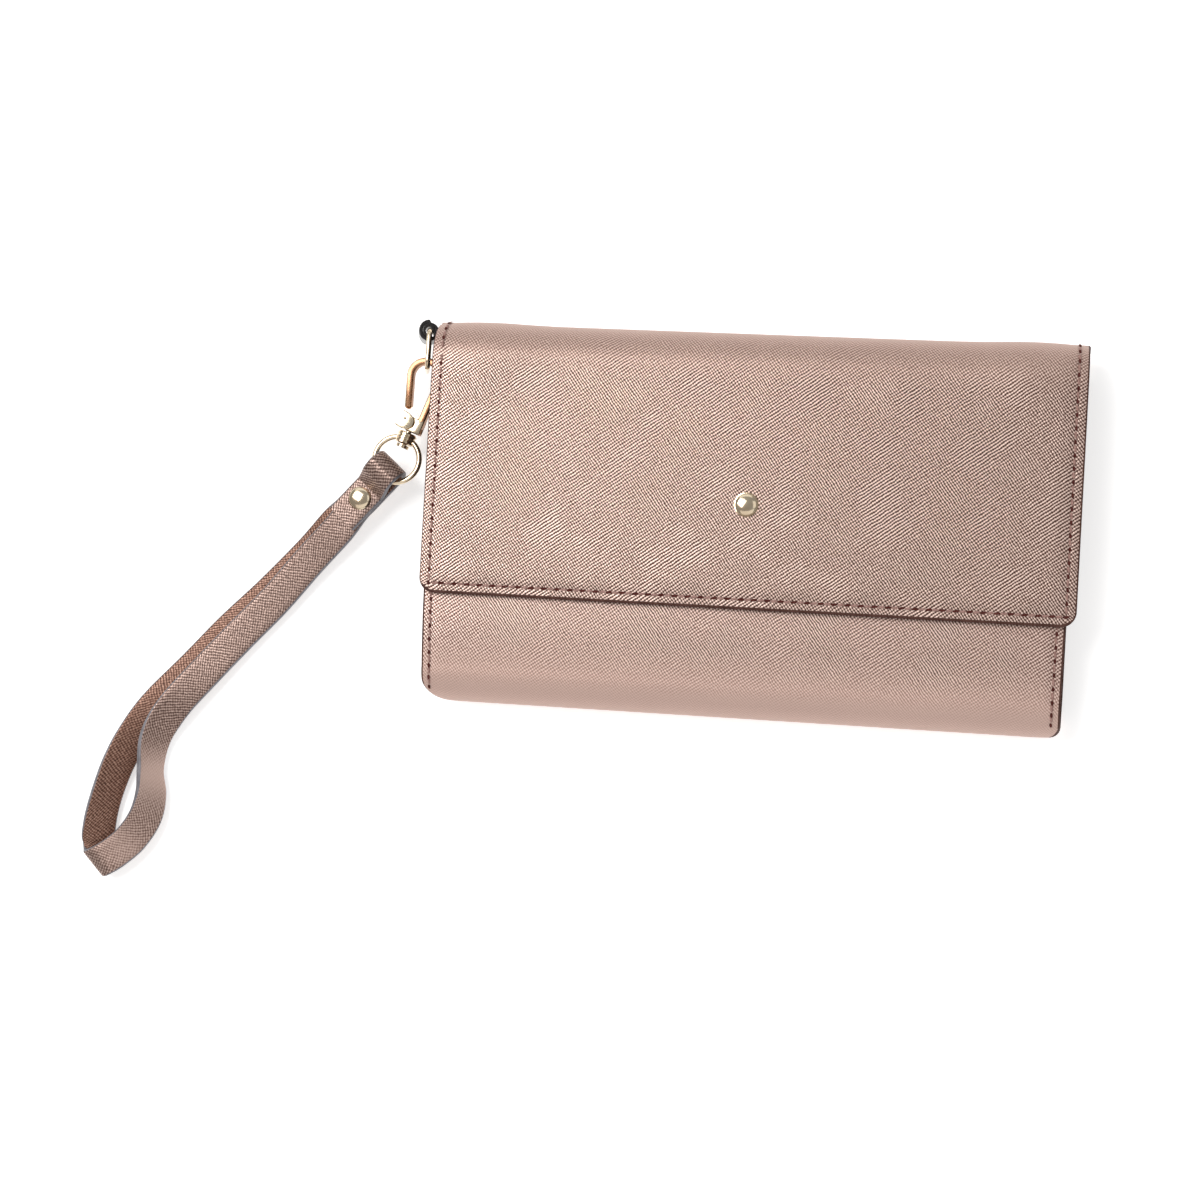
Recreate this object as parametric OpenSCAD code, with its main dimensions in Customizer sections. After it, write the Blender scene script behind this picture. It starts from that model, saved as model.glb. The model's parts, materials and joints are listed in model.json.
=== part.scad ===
// Wristlet wallet: a folded leather wallet body with a wrap-over flap, and a wrist strap
// that hangs from a swivel snap hook on a D-ring at the top left corner.
// The wallet lies on its back. +X runs along its width, +Y towards the top fold and +Z out
// of the front. The origin is the centre of the back panel's outer face.

/* [Wallet body] */
// Width of the back and front panels
body_w = 164; // [140:1:190]
// Width of the flap, which overhangs the panels at both sides
flap_w = 168; // [144:1:196]
// Height from the bottom fold to the top fold
wallet_h = 100; // [85:1:125]
// Thickness of the closed wallet
wallet_t = 20; // [18:0.5:26]
// Distance from the wallet's centre line down to the flap's free edge
flap_drop = 22.4; // [15:0.5:32]
// Distance from the centre line up to the front panel's open edge
front_top = 22; // [12:0.5:28]
// Radius of the flap's two free corners
flap_corner_r = 4; // [2:0.5:8]
// Gap between the closed flap and the front panel
flap_gap = 0.3; // [0.2:0.1:0.8]

/* [Materials of the body] */
// Thickness of the outer leather
leather_t = 1; // [0.8:0.1:1.4]
// Thickness of the stiffening board under the leather
board_t = 0.8; // [0.6:0.1:1.2]
// Thickness of the lining
lining_t = 0.4; // [0.3:0.1:0.6]
// Thickness of the gusset leather
gusset_t = 0.8; // [0.6:0.1:1.2]
// Inset of each gusset from the panel's side edge
gusset_inset = 1.4; // [1:0.1:3]
// Depth of the fold in the middle of each gusset
gusset_fold = 2.5; // [1:0.1:5]
// Width of the gusset's sewn flange
flange_w = 3.2; // [2.8:0.1:5]

/* [Stitching] */
// Distance of the stitch line from the edge
stitch_inset = 2.6; // [2:0.1:4]
// Distance from one stitch to the next
stitch_pitch = 3.4; // [2.5:0.1:5]
// Length of thread seen in one stitch
stitch_len = 2.2; // [1.5:0.1:2.4]
// Diameter of the sewing thread
thread_d = 0.5; // [0.3:0.05:0.8]

/* [Pockets] */
// Width of each card slot sheet
slot_w = 140; // [100:1:146]
// Thickness of each card slot sheet
slot_t = 0.6; // [0.4:0.1:0.8]
// Step between the top edges of neighbouring card slots
slot_step = 7; // [5:0.5:9]

/* [Closure and stud] */
// Diameter of the hidden magnet and of its steel keeper
magnet_d = 12; // [8:0.5:16]
// Distance of the magnet below the centre line
magnet_drop = 12; // [8:0.5:14]
// Diameter of the domed stud on the flap
stud_d = 6.4; // [5:0.1:9]
// Height of the stud's dome
stud_h = 1.2; // [0.8:0.1:2]
// Distance of the stud above the centre line
stud_y = 4.4; // [0:0.1:10]
// Diameter of the stud's shank
shank_d = 2; // [1.5:0.1:2.5]

/* [D-ring and tab] */
// Diameter of the D-ring's wire
d_wire = 1.4; // [1.2:0.05:1.8]
// Inside width of the D-ring
d_inner_w = 10; // [9:0.5:13]
// Distance from the D-ring's bar to its far side, on the wire's centre line
d_length = 9.8; // [9:0.1:12]
// Inside radius of the D-ring's corners
d_corner_r = 1.2; // [1:0.1:1.4]
// Thickness of the leather tab around the bar
tab_t = 1.9; // [1.6:0.1:3]
// Width of the tab along the bar
tab_w = 7; // [5:0.5:7]
// Tilt of the D-ring and of the tab's roll, away from square to the wallet's back
ring_tilt = 14; // [0:1:16]
// Length of the tab's tail down the gusset
tab_tail = 16; // [10:0.5:22]

/* [Snap hook] */
// Thickness of the cast hook
hook_t = 3; // [2.4:0.1:3.6]
// Width of the hook's arms
arm_w = 1.9; // [1.5:0.1:2.2]
// Length of the straight back arm, from the base to the bow
arm_len = 15.3; // [14:0.1:20]
// Radius of the bow on its centre line
bow_r = 4; // [3.8:0.1:5]
// Diameter of the gate's pivot pin
pin_d = 1; // [0.8:0.05:1.2]
// Radial clearance of every turning fit
fit_gap = 0.05; // [0.03:0.01:0.1]
// Thickness of the gate lever
gate_t = 1.4; // [1.1:0.05:1.5]
// Radius of the gate's thumb knob
knob_r = 1.5; // [1.2:0.1:1.5]
// Tilt of the hook from the wallet's side
hook_tilt = 20; // [15:1:25]

/* [Swivel ring] */
// Mean radius of the swivel ring
ring_r = 6.1; // [5.9:0.1:7.5]
// Diameter of the ring's wire
ring_wire = 1.5; // [1.2:0.1:1.8]
// Diameter of the boss that turns on the hook's post
boss_d = 5.3; // [4.5:0.1:6]
// Height of the boss
boss_h = 3.3; // [2.5:0.1:3.5]
// Diameter of the post inside the boss
post_d = 1.6; // [1.2:0.1:1.8]
// Diameter of the post's riveted head
head_d = 3.4; // [3:0.1:4]
// Thickness of the post's riveted head
head_t = 0.9; // [0.6:0.1:1.2]

/* [Wrist strap] */
// Width of the strap
strap_w = 9; // [7:0.1:9.4]
// Thickness of the strap
strap_t = 1.8; // [1.4:0.1:1.9]
// Direction of the strap from the ring, measured from the wallet's side
strap_turn = 41; // [36:1:46]
// Inside radius of the strap's eye around the ring
eye_r = 2.2; // [2.1:0.05:2.5]
// Distance from the eye to the rivet
rivet_at = 9.6; // [8:0.1:11]
// Distance from the eye to the cut end of the fold-over tab
tab_end = 17.1; // [14:0.1:19]
// Diameter of the domed rivet cap
cap_d = 6.2; // [5:0.1:7]
// Height of the rivet cap's dome
cap_h = 1.3; // [0.8:0.1:2]

/* [Hidden] */

eps = 0.01;
big = 400;
rose = [0.80, 0.63, 0.56];
rose_dark = [0.55, 0.38, 0.32];
brown = [0.16, 0.10, 0.09];
lining_c = [0.32, 0.24, 0.22];
board_c = [0.62, 0.57, 0.50];
gold = [0.83, 0.69, 0.45];
steel = [0.62, 0.62, 0.63];

// Layers of the wall, counted from the outer face
wall_t = leather_t + board_t + lining_t;
top_y = wallet_h / 2;
// The closed front panel's outer face, under the flap and its gap
front_z = wallet_t - wall_t - flap_gap;
front_in_z = front_z - wall_t;
flap_in_z = wallet_t - wall_t;
// The bottom fold and the top fold are half rolls of the outer leather
bottom_r = front_z / 2;
bottom_y = -top_y + bottom_r;
spine_r = wallet_t / 2;
spine_y = top_y - spine_r;
flap_edge_y = -flap_drop;
gusset_top = spine_y - 4;
mid_z = front_z / 2;
flare = 10;
groove_t = 0.4;
layer_gap = 0.1;

// Where the back panel ends at each side and where the D-ring's bar lies
gusset_x = body_w / 2 - gusset_inset;
bar_x = -flap_w / 2 - 4.6;
bar_y = top_y - 2.8;
chain_z = 9;
tab_r = d_wire / 2 + fit_gap + tab_t;

// Hook frame of reference: its base sits below the D-ring's far side
hook_dir = [sin(hook_tilt), cos(hook_tilt)];
hook_side = [cos(hook_tilt), -sin(hook_tilt)];
arm_x = 1.7;
bow_x = arm_x - bow_r;
wire_drop = 1.8;
wire_shift = 0.4;
// The D-ring's far wire lies inside the bow, a little above its centre
wire_in_hook = [bow_x - wire_shift, arm_len + wire_drop];
d_far = [bar_x, bar_y - d_length];
hook_o = d_far - wire_in_hook[0] * hook_side - wire_in_hook[1] * hook_dir;
pivot = [0.7, 1.9];
// The post stands a little to the side of the hook's middle line
post_x = -0.6;
base_x0 = post_x - post_d / 2 - 0.05;
base_x1 = arm_x + arm_w / 2;
base_h = 4;
cheek_gap = gate_t + 0.2;
nose = [-3.35, 6.3];
gate_tip = [-1.75, 5.85];
tip_r = 0.55;
knob = [-3.15, 1.6];
base_gap = 0.3;
head_gap = 0.15;

// The ring hangs under its boss, and the strap's eye hangs on the ring
boss_y = -base_gap - boss_h / 2;
ring_y = boss_y - ring_r + 0.05;
ring_c = hook_o + post_x * hook_side + ring_y * hook_dir;
strap_s = [-sin(strap_turn), -cos(strap_turn)];
strap_n = [cos(strap_turn), -sin(strap_turn)];
eye_c = ring_c + (ring_r - 1.3) * strap_s;
mid_r = eye_r + strap_t / 2;
lay = strap_t + layer_gap;
stack_z = 5.9;
rivet_r = 1.2;
// The strap lies flat this far on either side of the rivet
flat_r = cap_d / 2 + 0.1;

// A place on the strap's line: distance from the eye, height and shift to the side
function on_strap(s, z, side = 0) = [
    eye_c[0] + s * strap_s[0] + side * strap_n[0],
    eye_c[1] + s * strap_s[1] + side * strap_n[1], z];
function row(p, turn, lean) = [p[0], p[1], p[2], turn, lean];
function off_eye(dx, dy, z, turn, lean) = [eye_c[0] + dx, eye_c[1] + dy, z, turn, lean];

// Route of the strap: each row is x and y off the eye, z off the table, then the compass
// turn and the lean of the strap's width.
// It starts under the fold-over tab, runs down the upper strand to the loop's end, comes
// back along the lower strand, goes round the eye and ends as the tab.
turn0 = -strap_turn;
upper_strand = [
    row(on_strap(rivet_at - 4, stack_z), turn0, 0),
    row(on_strap(rivet_at - flat_r, stack_z), turn0, 0),
    row(on_strap(rivet_at, stack_z), turn0, 0),
    row(on_strap(rivet_at + flat_r, stack_z), turn0, 0),
    off_eye(-12.4, -15.4, 5.4, -42, 0),
    off_eye(-20.4, -24.4, 4, -41, -2),
    off_eye(-29.4, -35.4, 3.2, -40, -3),
    off_eye(-38.4, -45.4, 3.2, -40, -3),
    off_eye(-47.4, -55.9, 3.8, -39, -4),
    off_eye(-55.4, -65.9, 4.6, -30, -14),
    off_eye(-59.7, -74.4, 5, -14, -38),
    off_eye(-60.4, -82.9, 5.3, 0, -54),
    off_eye(-59.8, -89.4, 5.1, -10, -42),
    off_eye(-61, -95.9, 4.8, -24, -26),
    off_eye(-64.6, -102, 4.7, -36, -12),
    off_eye(-69, -106.2, 4.9, -44, -6),
    off_eye(-72.4, -108.5, 4.95, -49, -4)];
loop_end = [
    off_eye(-74.7, -109.1, 3.6, -46, -6)];
lower_strand = [
    off_eye(-74.6, -105.6, 2.25, -19, -14),
    off_eye(-74.7, -101.1, 2.75, 4, -24),
    off_eye(-73.9, -95.5, 3.5, 4, -33),
    off_eye(-72.2, -88.7, 3.9, -1, -36),
    off_eye(-69.9, -81.5, 3.7, -12, -30),
    off_eye(-66.6, -74, 2.7, -27, -18),
    off_eye(-61.3, -65.5, 1.7, -38, -6),
    off_eye(-51.4, -54.4, 1.1, -42, 0),
    off_eye(-41.9, -43.7, 1, -42, 0),
    off_eye(-31.4, -33, 1, -41, 0),
    off_eye(-20.9, -21.6, 1.6, -41, 0),
    off_eye(-13.8, -13.4, 3.2, -41, 0),
    row(on_strap(rivet_at + flat_r, stack_z - lay, -0.8), turn0, 0),
    row(on_strap(rivet_at, stack_z - lay, -0.7), turn0, 0),
    row(on_strap(rivet_at - flat_r, stack_z - lay, -0.6), turn0, 0),
    row(on_strap(rivet_at - flat_r - 1, stack_z - lay + 0.05, -0.5), turn0, 0)];
eye_turn = [for (a = [-70 : 20 : 90])
    row(on_strap(-mid_r * cos(a), chain_z + mid_r * sin(a)), turn0, 0)];
over_tab = [
    row(on_strap(2.1, chain_z + mid_r * 0.76), turn0, 0),
    row(on_strap(3.8, stack_z + lay + 1.7), turn0, 0),
    row(on_strap(rivet_at - flat_r - 1, stack_z + lay + 0.25), turn0, 0),
    row(on_strap(rivet_at - flat_r, stack_z + lay), turn0, 0),
    row(on_strap(rivet_at, stack_z + lay), turn0, 0),
    row(on_strap(rivet_at + flat_r, stack_z + lay), turn0, 0),
    row(on_strap(tab_end, stack_z + lay), turn0, 0)];
strap_route = concat(upper_strand, loop_end, lower_strand, eye_turn, over_tab);
route_steps = 3;

// Vector helpers
function unit(v) = v / norm(v);
function wide(turn, lean) = [cos(turn) * cos(lean), sin(turn) * cos(lean), sin(lean)];
function pick(list, i) = list[max(0, min(len(list) - 1, i))];
function spline(a, b, c, d, t) = 0.5 * (2 * b + (c - a) * t
    + (2 * a - 5 * b + 4 * c - d) * t * t + (3 * b - a - 3 * c + d) * t * t * t);
function smooth_route(route, steps) = [for (i = [0 : len(route) - 1])
    for (k = [0 : i == len(route) - 1 ? 0 : steps - 1])
    spline(pick(route, i - 1), route[i], pick(route, i + 1), pick(route, i + 2), k / steps)];
function xyz(p) = [p[0], p[1], p[2]];
function heading(path, i) = unit(xyz(pick(path, i + 1)) - xyz(pick(path, i - 1)));

// Four corners of a flat strap's section at one place on its route
function strap_ring(path, i, w, h) =
    let (a = wide(path[i][3], path[i][4]), n = unit(cross(heading(path, i), a)),
        c = xyz(path[i]))
    [c - a * w / 2 - n * h / 2, c + a * w / 2 - n * h / 2,
        c + a * w / 2 + n * h / 2, c - a * w / 2 + n * h / 2];

// A closed tube through equal rings of points
module ring_sweep(rings) {
    n = len(rings[0]);
    last = len(rings) - 1;
    points = [for (r = rings) for (p = r) p];
    sides = [for (i = [0 : last - 1]) for (k = [0 : n - 1]) each [
        [i * n + k, (i + 1) * n + k, (i + 1) * n + (k + 1) % n],
        [i * n + k, (i + 1) * n + (k + 1) % n, i * n + (k + 1) % n]]];
    start = [[for (k = [0 : n - 1]) k]];
    end = [[for (k = [n - 1 : -1 : 0]) last * n + k]];
    polyhedron(points, concat(start, sides, end), convexity = 10);
}

// Draws a side view (y, z) and gives it a width along X, centred
module across(w) {
    translate([-w / 2, 0, 0]) rotate([90, 0, 90]) linear_extrude(w) children();
}

// Part of a round wall in the side view, from one angle to another
module bend(outer, inner, a0, a1) {
    far = 2 * outer;
    am = (a0 + a1) / 2;
    intersection() {
        difference() {
            circle(outer, $fn = 96);
            circle(inner, $fn = 96);
        }
        polygon([[0, 0], far * [cos(a0), sin(a0)], far * [cos(am), sin(am)],
            far * [cos(a1), sin(a1)]]);
    }
}

// A flat layer in the side view
module layer(y0, y1, z0, z1) {
    translate([y0, z0]) square([y1 - y0, z1 - z0]);
}

// Half roll of the bottom fold between two depths below the outer face
module bottom_roll(d0, d1) {
    translate([bottom_y, bottom_r]) {
        bend(bottom_r - d0, bottom_r - d1, 90, 181);
        bend(bottom_r - d0, bottom_r - d1, 179, 270);
    }
}

// Part of the top roll between two depths below the outer face
module spine_roll(d0, d1, a0, a1) {
    translate([spine_y, spine_r]) bend(spine_r - d0, spine_r - d1, a0, a1);
}

// The two stitch lines of the side seams
module at_sides() {
    for (side = [-1, 1]) translate([side * (body_w / 2 - stitch_inset), 0, 0]) children();
}

// A row of stitches along +Y from the origin
module stitch_row(length) {
    count = max(1, floor(length / stitch_pitch));
    for (i = [0 : count - 1]) translate([0, (i + 0.5) * length / count, 0])
        cube([thread_d, stitch_len, thread_d / 2], center = true);
}

module outer_leather() color(rose) difference() {
    union() {
        across(body_w) {
            layer(bottom_y, spine_y - flare, 0, leather_t);
            bottom_roll(0, leather_t);
            layer(bottom_y, front_top, front_z - leather_t, front_z);
        }
        linear_extrude(leather_t) polygon([[-body_w / 2, spine_y - flare],
            [body_w / 2, spine_y - flare], [flap_w / 2, spine_y], [-flap_w / 2, spine_y]]);
        across(flap_w) spine_roll(0, leather_t, -90, -45);
    }
    at_sides() translate([-groove_t, bottom_y, -eps])
        cube([2 * groove_t, spine_y - flare - bottom_y, groove_t]);
}

module back_board() color(board_c) across(body_w) {
    layer(bottom_y, spine_y - 2, leather_t, leather_t + board_t);
}

module front_board() color(board_c) difference() {
    across(body_w) layer(bottom_y, front_top, front_z - leather_t - board_t,
        front_z - leather_t);
    translate([0, -magnet_drop, front_in_z]) cylinder(d = magnet_d, h = wall_t, $fn = 64);
}

module front_keeper() color(steel) {
    translate([0, -magnet_drop, front_in_z + lining_t])
        cylinder(d = magnet_d, h = board_t, $fn = 64);
}

module bottom_foam() color(board_c) across(body_w) {
    bottom_roll(leather_t, leather_t + board_t);
}

module body_lining() color(lining_c) {
    across(body_w) {
        layer(bottom_y, spine_y - 2, wall_t - lining_t, wall_t);
        bottom_roll(wall_t - lining_t, wall_t);
        layer(bottom_y, front_top, front_in_z, front_in_z + lining_t);
        polygon([[spine_y - 2, wall_t - lining_t], [spine_y - 2, wall_t],
            [spine_y, leather_t + lining_t], [spine_y, leather_t]]);
    }
    across(flap_w) spine_roll(leather_t, leather_t + lining_t, -90, -45);
}

// Section of a gusset seen from the top: two sewn flanges and a folded web between them
module gusset_section() {
    low = wall_t;
    high = front_in_z;
    inner = gusset_x - gusset_t;
    polygon([[gusset_x, low], [gusset_x - flange_w, low], [gusset_x - flange_w, low + gusset_t],
        [inner, low + gusset_t], [inner - gusset_fold, mid_z], [inner, high - gusset_t],
        [gusset_x - flange_w, high - gusset_t], [gusset_x - flange_w, high],
        [gusset_x, high], [gusset_x - gusset_fold, mid_z]]);
}

// One gusset, on the right; its top edge falls from the front panel to the back panel
module gusset() color(brown) {
    intersection() {
        translate([0, gusset_top, 0]) rotate([90, 0, 0])
            linear_extrude(gusset_top - bottom_y) gusset_section();
        translate([body_w / 2, 0, 0]) across(body_w) polygon([[bottom_y, 0],
            [gusset_top, 0], [gusset_top, wall_t + gusset_t],
            [front_top, front_in_z - gusset_t], [front_top, front_z], [bottom_y, front_z]]);
    }
    translate([gusset_x - gusset_t, bottom_y, bottom_r]) rotate([0, 90, 0]) intersection() {
        cylinder(r = bottom_r - wall_t, h = gusset_t, $fn = 64);
        translate([-bottom_r, -bottom_r + 0.6, 0]) cube([2 * bottom_r, bottom_r, gusset_t]);
    }
}

module gusset_right() gusset();

module gusset_left() mirror([1, 0, 0]) gusset();

// Stepped card slot sheets lie on the back lining, the tallest first
module card_slot(number) color(lining_c) {
    slot_top = spine_y - 3 - (number - 1) * slot_step;
    slot_base = bottom_y + 8;
    translate([-slot_w / 2, slot_base, wall_t + (number - 1) * slot_t])
        cube([slot_w, slot_top - slot_base, slot_t]);
}

// Thread on the front panel's face, and in the groove of the back panel
module side_stitching() color(rose_dark) at_sides() {
    translate([0, bottom_y, front_z + thread_d / 4]) stitch_row(front_top - bottom_y - 1);
    translate([0, bottom_y, groove_t - eps - thread_d / 4])
        stitch_row(spine_y - flare - bottom_y);
}

// Places a child on the D-ring's bar, with its +Z along the bar
module on_bar() {
    translate([bar_x, bar_y, chain_z]) rotate([0, ring_tilt, 0]) children();
}

// Dark leather tab: a loop round the D-ring's bar, with a tail sewn down the gusset
module ring_tab() color(brown) difference() {
    outer_x = -gusset_x - tab_t * 0.7;
    union() {
        on_bar() translate([0, 0, -tab_w / 2]) cylinder(r = tab_r, h = tab_w, $fn = 64);
        hull() {
            on_bar() translate([tab_r * 0.35, -tab_r * 0.35, -tab_w / 2])
                cylinder(r = tab_r * 0.5, h = tab_w, $fn = 32);
            translate([outer_x, gusset_top + 1, chain_z - tab_w / 2])
                cube([tab_t * 0.7, 2, tab_w]);
        }
        translate([outer_x, gusset_top + 2 - tab_tail, chain_z - tab_w / 2])
            cube([tab_t * 0.7, tab_tail, tab_w]);
    }
    on_bar() translate([0, 0, -tab_w])
        cylinder(r = d_wire / 2 + fit_gap, h = 2 * tab_w, $fn = 48);
}

module spine_leather() color(rose) across(flap_w) spine_roll(0, leather_t, -45, 45);

module spine_lining() color(lining_c) across(flap_w) {
    spine_roll(leather_t, leather_t + lining_t, -45, 45);
}

// Outline of the flap's flat part, with its two rounded free corners
module flap_outline() {
    reach = spine_y - flap_edge_y;
    difference() {
        translate([-flap_w / 2, flap_edge_y]) square([flap_w, reach]);
        for (side = [-1, 1]) translate([side * (flap_w / 2 - flap_corner_r),
                flap_edge_y + flap_corner_r]) difference() {
            translate([side > 0 ? 0 : -flap_corner_r - 1, -flap_corner_r - 1])
                square(flap_corner_r + 1);
            circle(flap_corner_r, $fn = 64);
        }
    }
}

// A layer of the flap between two depths below its outer face
module flap_layer(d0, d1) {
    translate([0, 0, wallet_t - d1]) linear_extrude(d1 - d0) flap_outline();
}

module stud_hole() {
    translate([0, stud_y, flap_in_z + lining_t]) cylinder(d = shank_d, h = wall_t, $fn = 48);
}

module flap_leather() color(rose) difference() {
    union() {
        flap_layer(0, leather_t);
        across(flap_w) spine_roll(0, leather_t, 45, 90);
    }
    stud_hole();
}

module flap_board() color(board_c) difference() {
    flap_layer(leather_t, leather_t + board_t);
    translate([-flap_w / 2 - 1, spine_y - 2, 0]) cube([flap_w + 2, big, big]);
    translate([0, -magnet_drop, flap_in_z]) cylinder(d = magnet_d, h = wall_t, $fn = 64);
    stud_washer_disc();
    stud_hole();
}

module flap_magnet() color(steel) {
    translate([0, -magnet_drop, flap_in_z + lining_t])
        cylinder(d = magnet_d, h = board_t, $fn = 64);
}

module flap_lining() color(lining_c) {
    difference() {
        flap_layer(wall_t - lining_t, wall_t);
        translate([-flap_w / 2 - 1, spine_y - 2, 0]) cube([flap_w + 2, big, big]);
    }
    across(flap_w) {
        polygon([[spine_y - 2, flap_in_z], [spine_y - 2, flap_in_z + lining_t],
            [spine_y, wallet_t - leather_t], [spine_y, wallet_t - leather_t - lining_t]]);
        spine_roll(leather_t, leather_t + lining_t, 45, 90);
    }
}

module stud_washer_disc() {
    translate([0, stud_y, flap_in_z + lining_t]) cylinder(d = stud_d, h = board_t / 2,
        $fn = 48);
}

module stud_washer() color(steel) difference() {
    stud_washer_disc();
    stud_hole();
}

// A low dome of a given width and height, standing on z = 0
module dome(d, h) {
    dome_r = (d * d / 4 + h * h) / (2 * h);
    rotate_extrude($fn = 64) intersection() {
        translate([0, h - dome_r]) circle(dome_r, $fn = 128);
        square([d, h]);
    }
}

module flap_stud() color(gold) {
    translate([0, stud_y, wallet_t]) dome(stud_d, stud_h);
    translate([0, stud_y, flap_in_z + lining_t])
        cylinder(d = shank_d, h = wall_t - lining_t, $fn = 48);
}

module flap_stitching() color(rose_dark) translate([0, 0, wallet_t + thread_d / 4]) {
    side_x = flap_w / 2 - stitch_inset;
    low_y = flap_edge_y + stitch_inset;
    for (side = [-1, 1]) translate([side * side_x, low_y, 0]) stitch_row(spine_y - low_y);
    translate([side_x, low_y, 0]) rotate([0, 0, 90]) stitch_row(2 * side_x);
}

// D-ring: a bar in the tab, two sides, a far side and four round corners
module d_ring() color(gold) {
    corner = d_corner_r + d_wire / 2;
    half_w = d_inner_w / 2 + d_wire / 2;
    side_len = d_length - 2 * corner;
    bar_len = 2 * (half_w - corner);
    on_bar() rotate([90, 0, 90]) {
        for (far = [0, 1]) {
            translate([-far * d_length, -bar_len / 2, 0]) rotate([-90, 0, 0])
                cylinder(d = d_wire, h = bar_len, $fn = 32);
            for (up = [0, 1]) translate([-corner - far * side_len, (up - 0.5) * bar_len, 0])
                rotate([0, 0, far == 0 ? (up - 1) * 90 : 180 - up * 90])
                rotate_extrude(angle = 90, $fn = 64)
                translate([corner, 0]) circle(d = d_wire, $fn = 32);
        }
        for (up = [-1, 1]) translate([-corner - side_len, up * half_w, 0])
            rotate([0, 90, 0]) cylinder(d = d_wire, h = side_len, $fn = 32);
    }
}

// Places a child drawn in the hook's own plane, with its own +Y along the hook
module in_hook() {
    translate([hook_o[0], hook_o[1], chain_z]) rotate([0, 0, -hook_tilt]) children();
}

// A flat bar with round ends between two points
module bar(p, q, r) {
    hull() {
        translate(p) circle(r, $fn = 32);
        translate(q) circle(r, $fn = 32);
    }
}

module hook_frame() color(gold) in_hook() difference() {
    union() {
        translate([0, 0, -hook_t / 2]) linear_extrude(hook_t) {
            translate([arm_x - arm_w / 2, 0]) square([arm_w, arm_len]);
            translate([bow_x, arm_len]) {
                bend(bow_r + arm_w / 2, bow_r - arm_w / 2, 0, 91);
                bend(bow_r + arm_w / 2, bow_r - arm_w / 2, 89, 201);
            }
            bar([bow_x + bow_r * cos(200), arm_len + bow_r * sin(200)], nose, arm_w / 2);
        }
        translate([base_x0, 0, -hook_t / 2]) cube([base_x1 - base_x0, base_h, hook_t]);
    }
    translate([-big / 2 + arm_x + 0.25, 0.6, -cheek_gap / 2])
        cube([big / 2, gate_tip[1] - 0.25, cheek_gap]);
    translate([pivot[0], pivot[1], -hook_t]) cylinder(d = pin_d, h = 2 * hook_t, $fn = 32);
}

// Post riveted under the hook's base; the swivel ring's boss turns on it
module hook_post() color(gold) in_hook() translate([post_x, 0, 0]) rotate([90, 0, 0]) {
    cylinder(d = post_d, h = base_gap + boss_h + head_gap, $fn = 48);
    translate([0, 0, base_gap + boss_h + head_gap]) cylinder(d = head_d, h = head_t, $fn = 48);
}

module gate_pin() color(steel) in_hook() {
    translate([pivot[0], pivot[1], -hook_t / 2]) cylinder(d = pin_d, h = hook_t, $fn = 32);
}

// Wire spring round the pin, beside the gate's hub
spring_wire = 0.2;
spring_r = 0.9;
spring_turns = 2.5;
function spring_point(i, k) =
    let (a = i * 18, z = spring_wire * 1.15 * a / 360, b = k * 60,
        r = spring_r + spring_wire / 2 * cos(b))
    [r * cos(a), r * sin(a), z + spring_wire / 2 * sin(b)];

module gate_spring() color(steel) in_hook() {
    translate([pivot[0], pivot[1], gate_t / 2 - spring_wire * 3.2])
        ring_sweep([for (i = [0 : spring_turns * 20]) [for (k = [5 : -1 : 0])
            spring_point(i, k)]]);
}

// Gate lever: hub on the pin, a bent arm up to the nose and a round thumb knob
module gate_lever() color(gold) in_hook() difference() {
    union() {
        translate([0, 0, -gate_t / 2]) linear_extrude(gate_t) {
            translate(pivot) circle(1.15, $fn = 48);
            bar(pivot, [-0.15, 4.3], tip_r);
            bar([-0.15, 4.3], gate_tip, tip_r);
            bar(pivot, knob, tip_r);
        }
        translate([knob[0], knob[1], -hook_t * 0.6])
            cylinder(r = knob_r, h = hook_t * 1.2, $fn = 48);
    }
    translate([pivot[0], pivot[1], -hook_t])
        cylinder(d = pin_d + 2 * fit_gap, h = 2 * hook_t, $fn = 32);
    translate([pivot[0], pivot[1], 0]) cylinder(r = 1.25, h = hook_t, $fn = 48);
}

// Swivel ring, with the boss that turns on the hook's post
module swivel_ring() color(gold) in_hook() translate([post_x, 0, 0]) difference() {
    union() {
        translate([0, ring_y, 0]) rotate_extrude($fn = 96)
            translate([ring_r, 0]) circle(d = ring_wire, $fn = 32);
        translate([0, -base_gap, 0]) rotate([90, 0, 0])
            cylinder(d = boss_d, h = boss_h, $fn = 64);
    }
    rotate([90, 0, 0]) cylinder(d = post_d + 2 * fit_gap, h = base_gap + boss_h + 2, $fn = 48);
}

module at_rivet(z) {
    translate(on_strap(rivet_at, z)) children();
}

module wrist_strap() color(rose) {
    path = smooth_route(strap_route, route_steps);
    ring_sweep([for (i = [0 : len(path) - 1]) strap_ring(path, i, strap_w, strap_t)]);
}

strap_top = stack_z + lay + strap_t / 2;
strap_low = stack_z - lay - strap_t / 2;

module strap_rivet_cap() color(gold) {
    at_rivet(strap_top + 0.3) dome(cap_d, cap_h - 0.3);
    at_rivet(strap_top) difference() {
        cylinder(d = cap_d, h = 0.3, $fn = 64);
        translate([0, 0, -eps]) cylinder(r = rivet_r, h = 0.3 + 2 * eps, $fn = 48);
    }
}

module strap_rivet_post() color(gold) {
    at_rivet(strap_low) cylinder(r = rivet_r, h = strap_top + 0.3 - strap_low, $fn = 48);
    at_rivet(strap_low - 0.8) cylinder(d = cap_d - 1, h = 0.8, $fn = 64);
}

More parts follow.
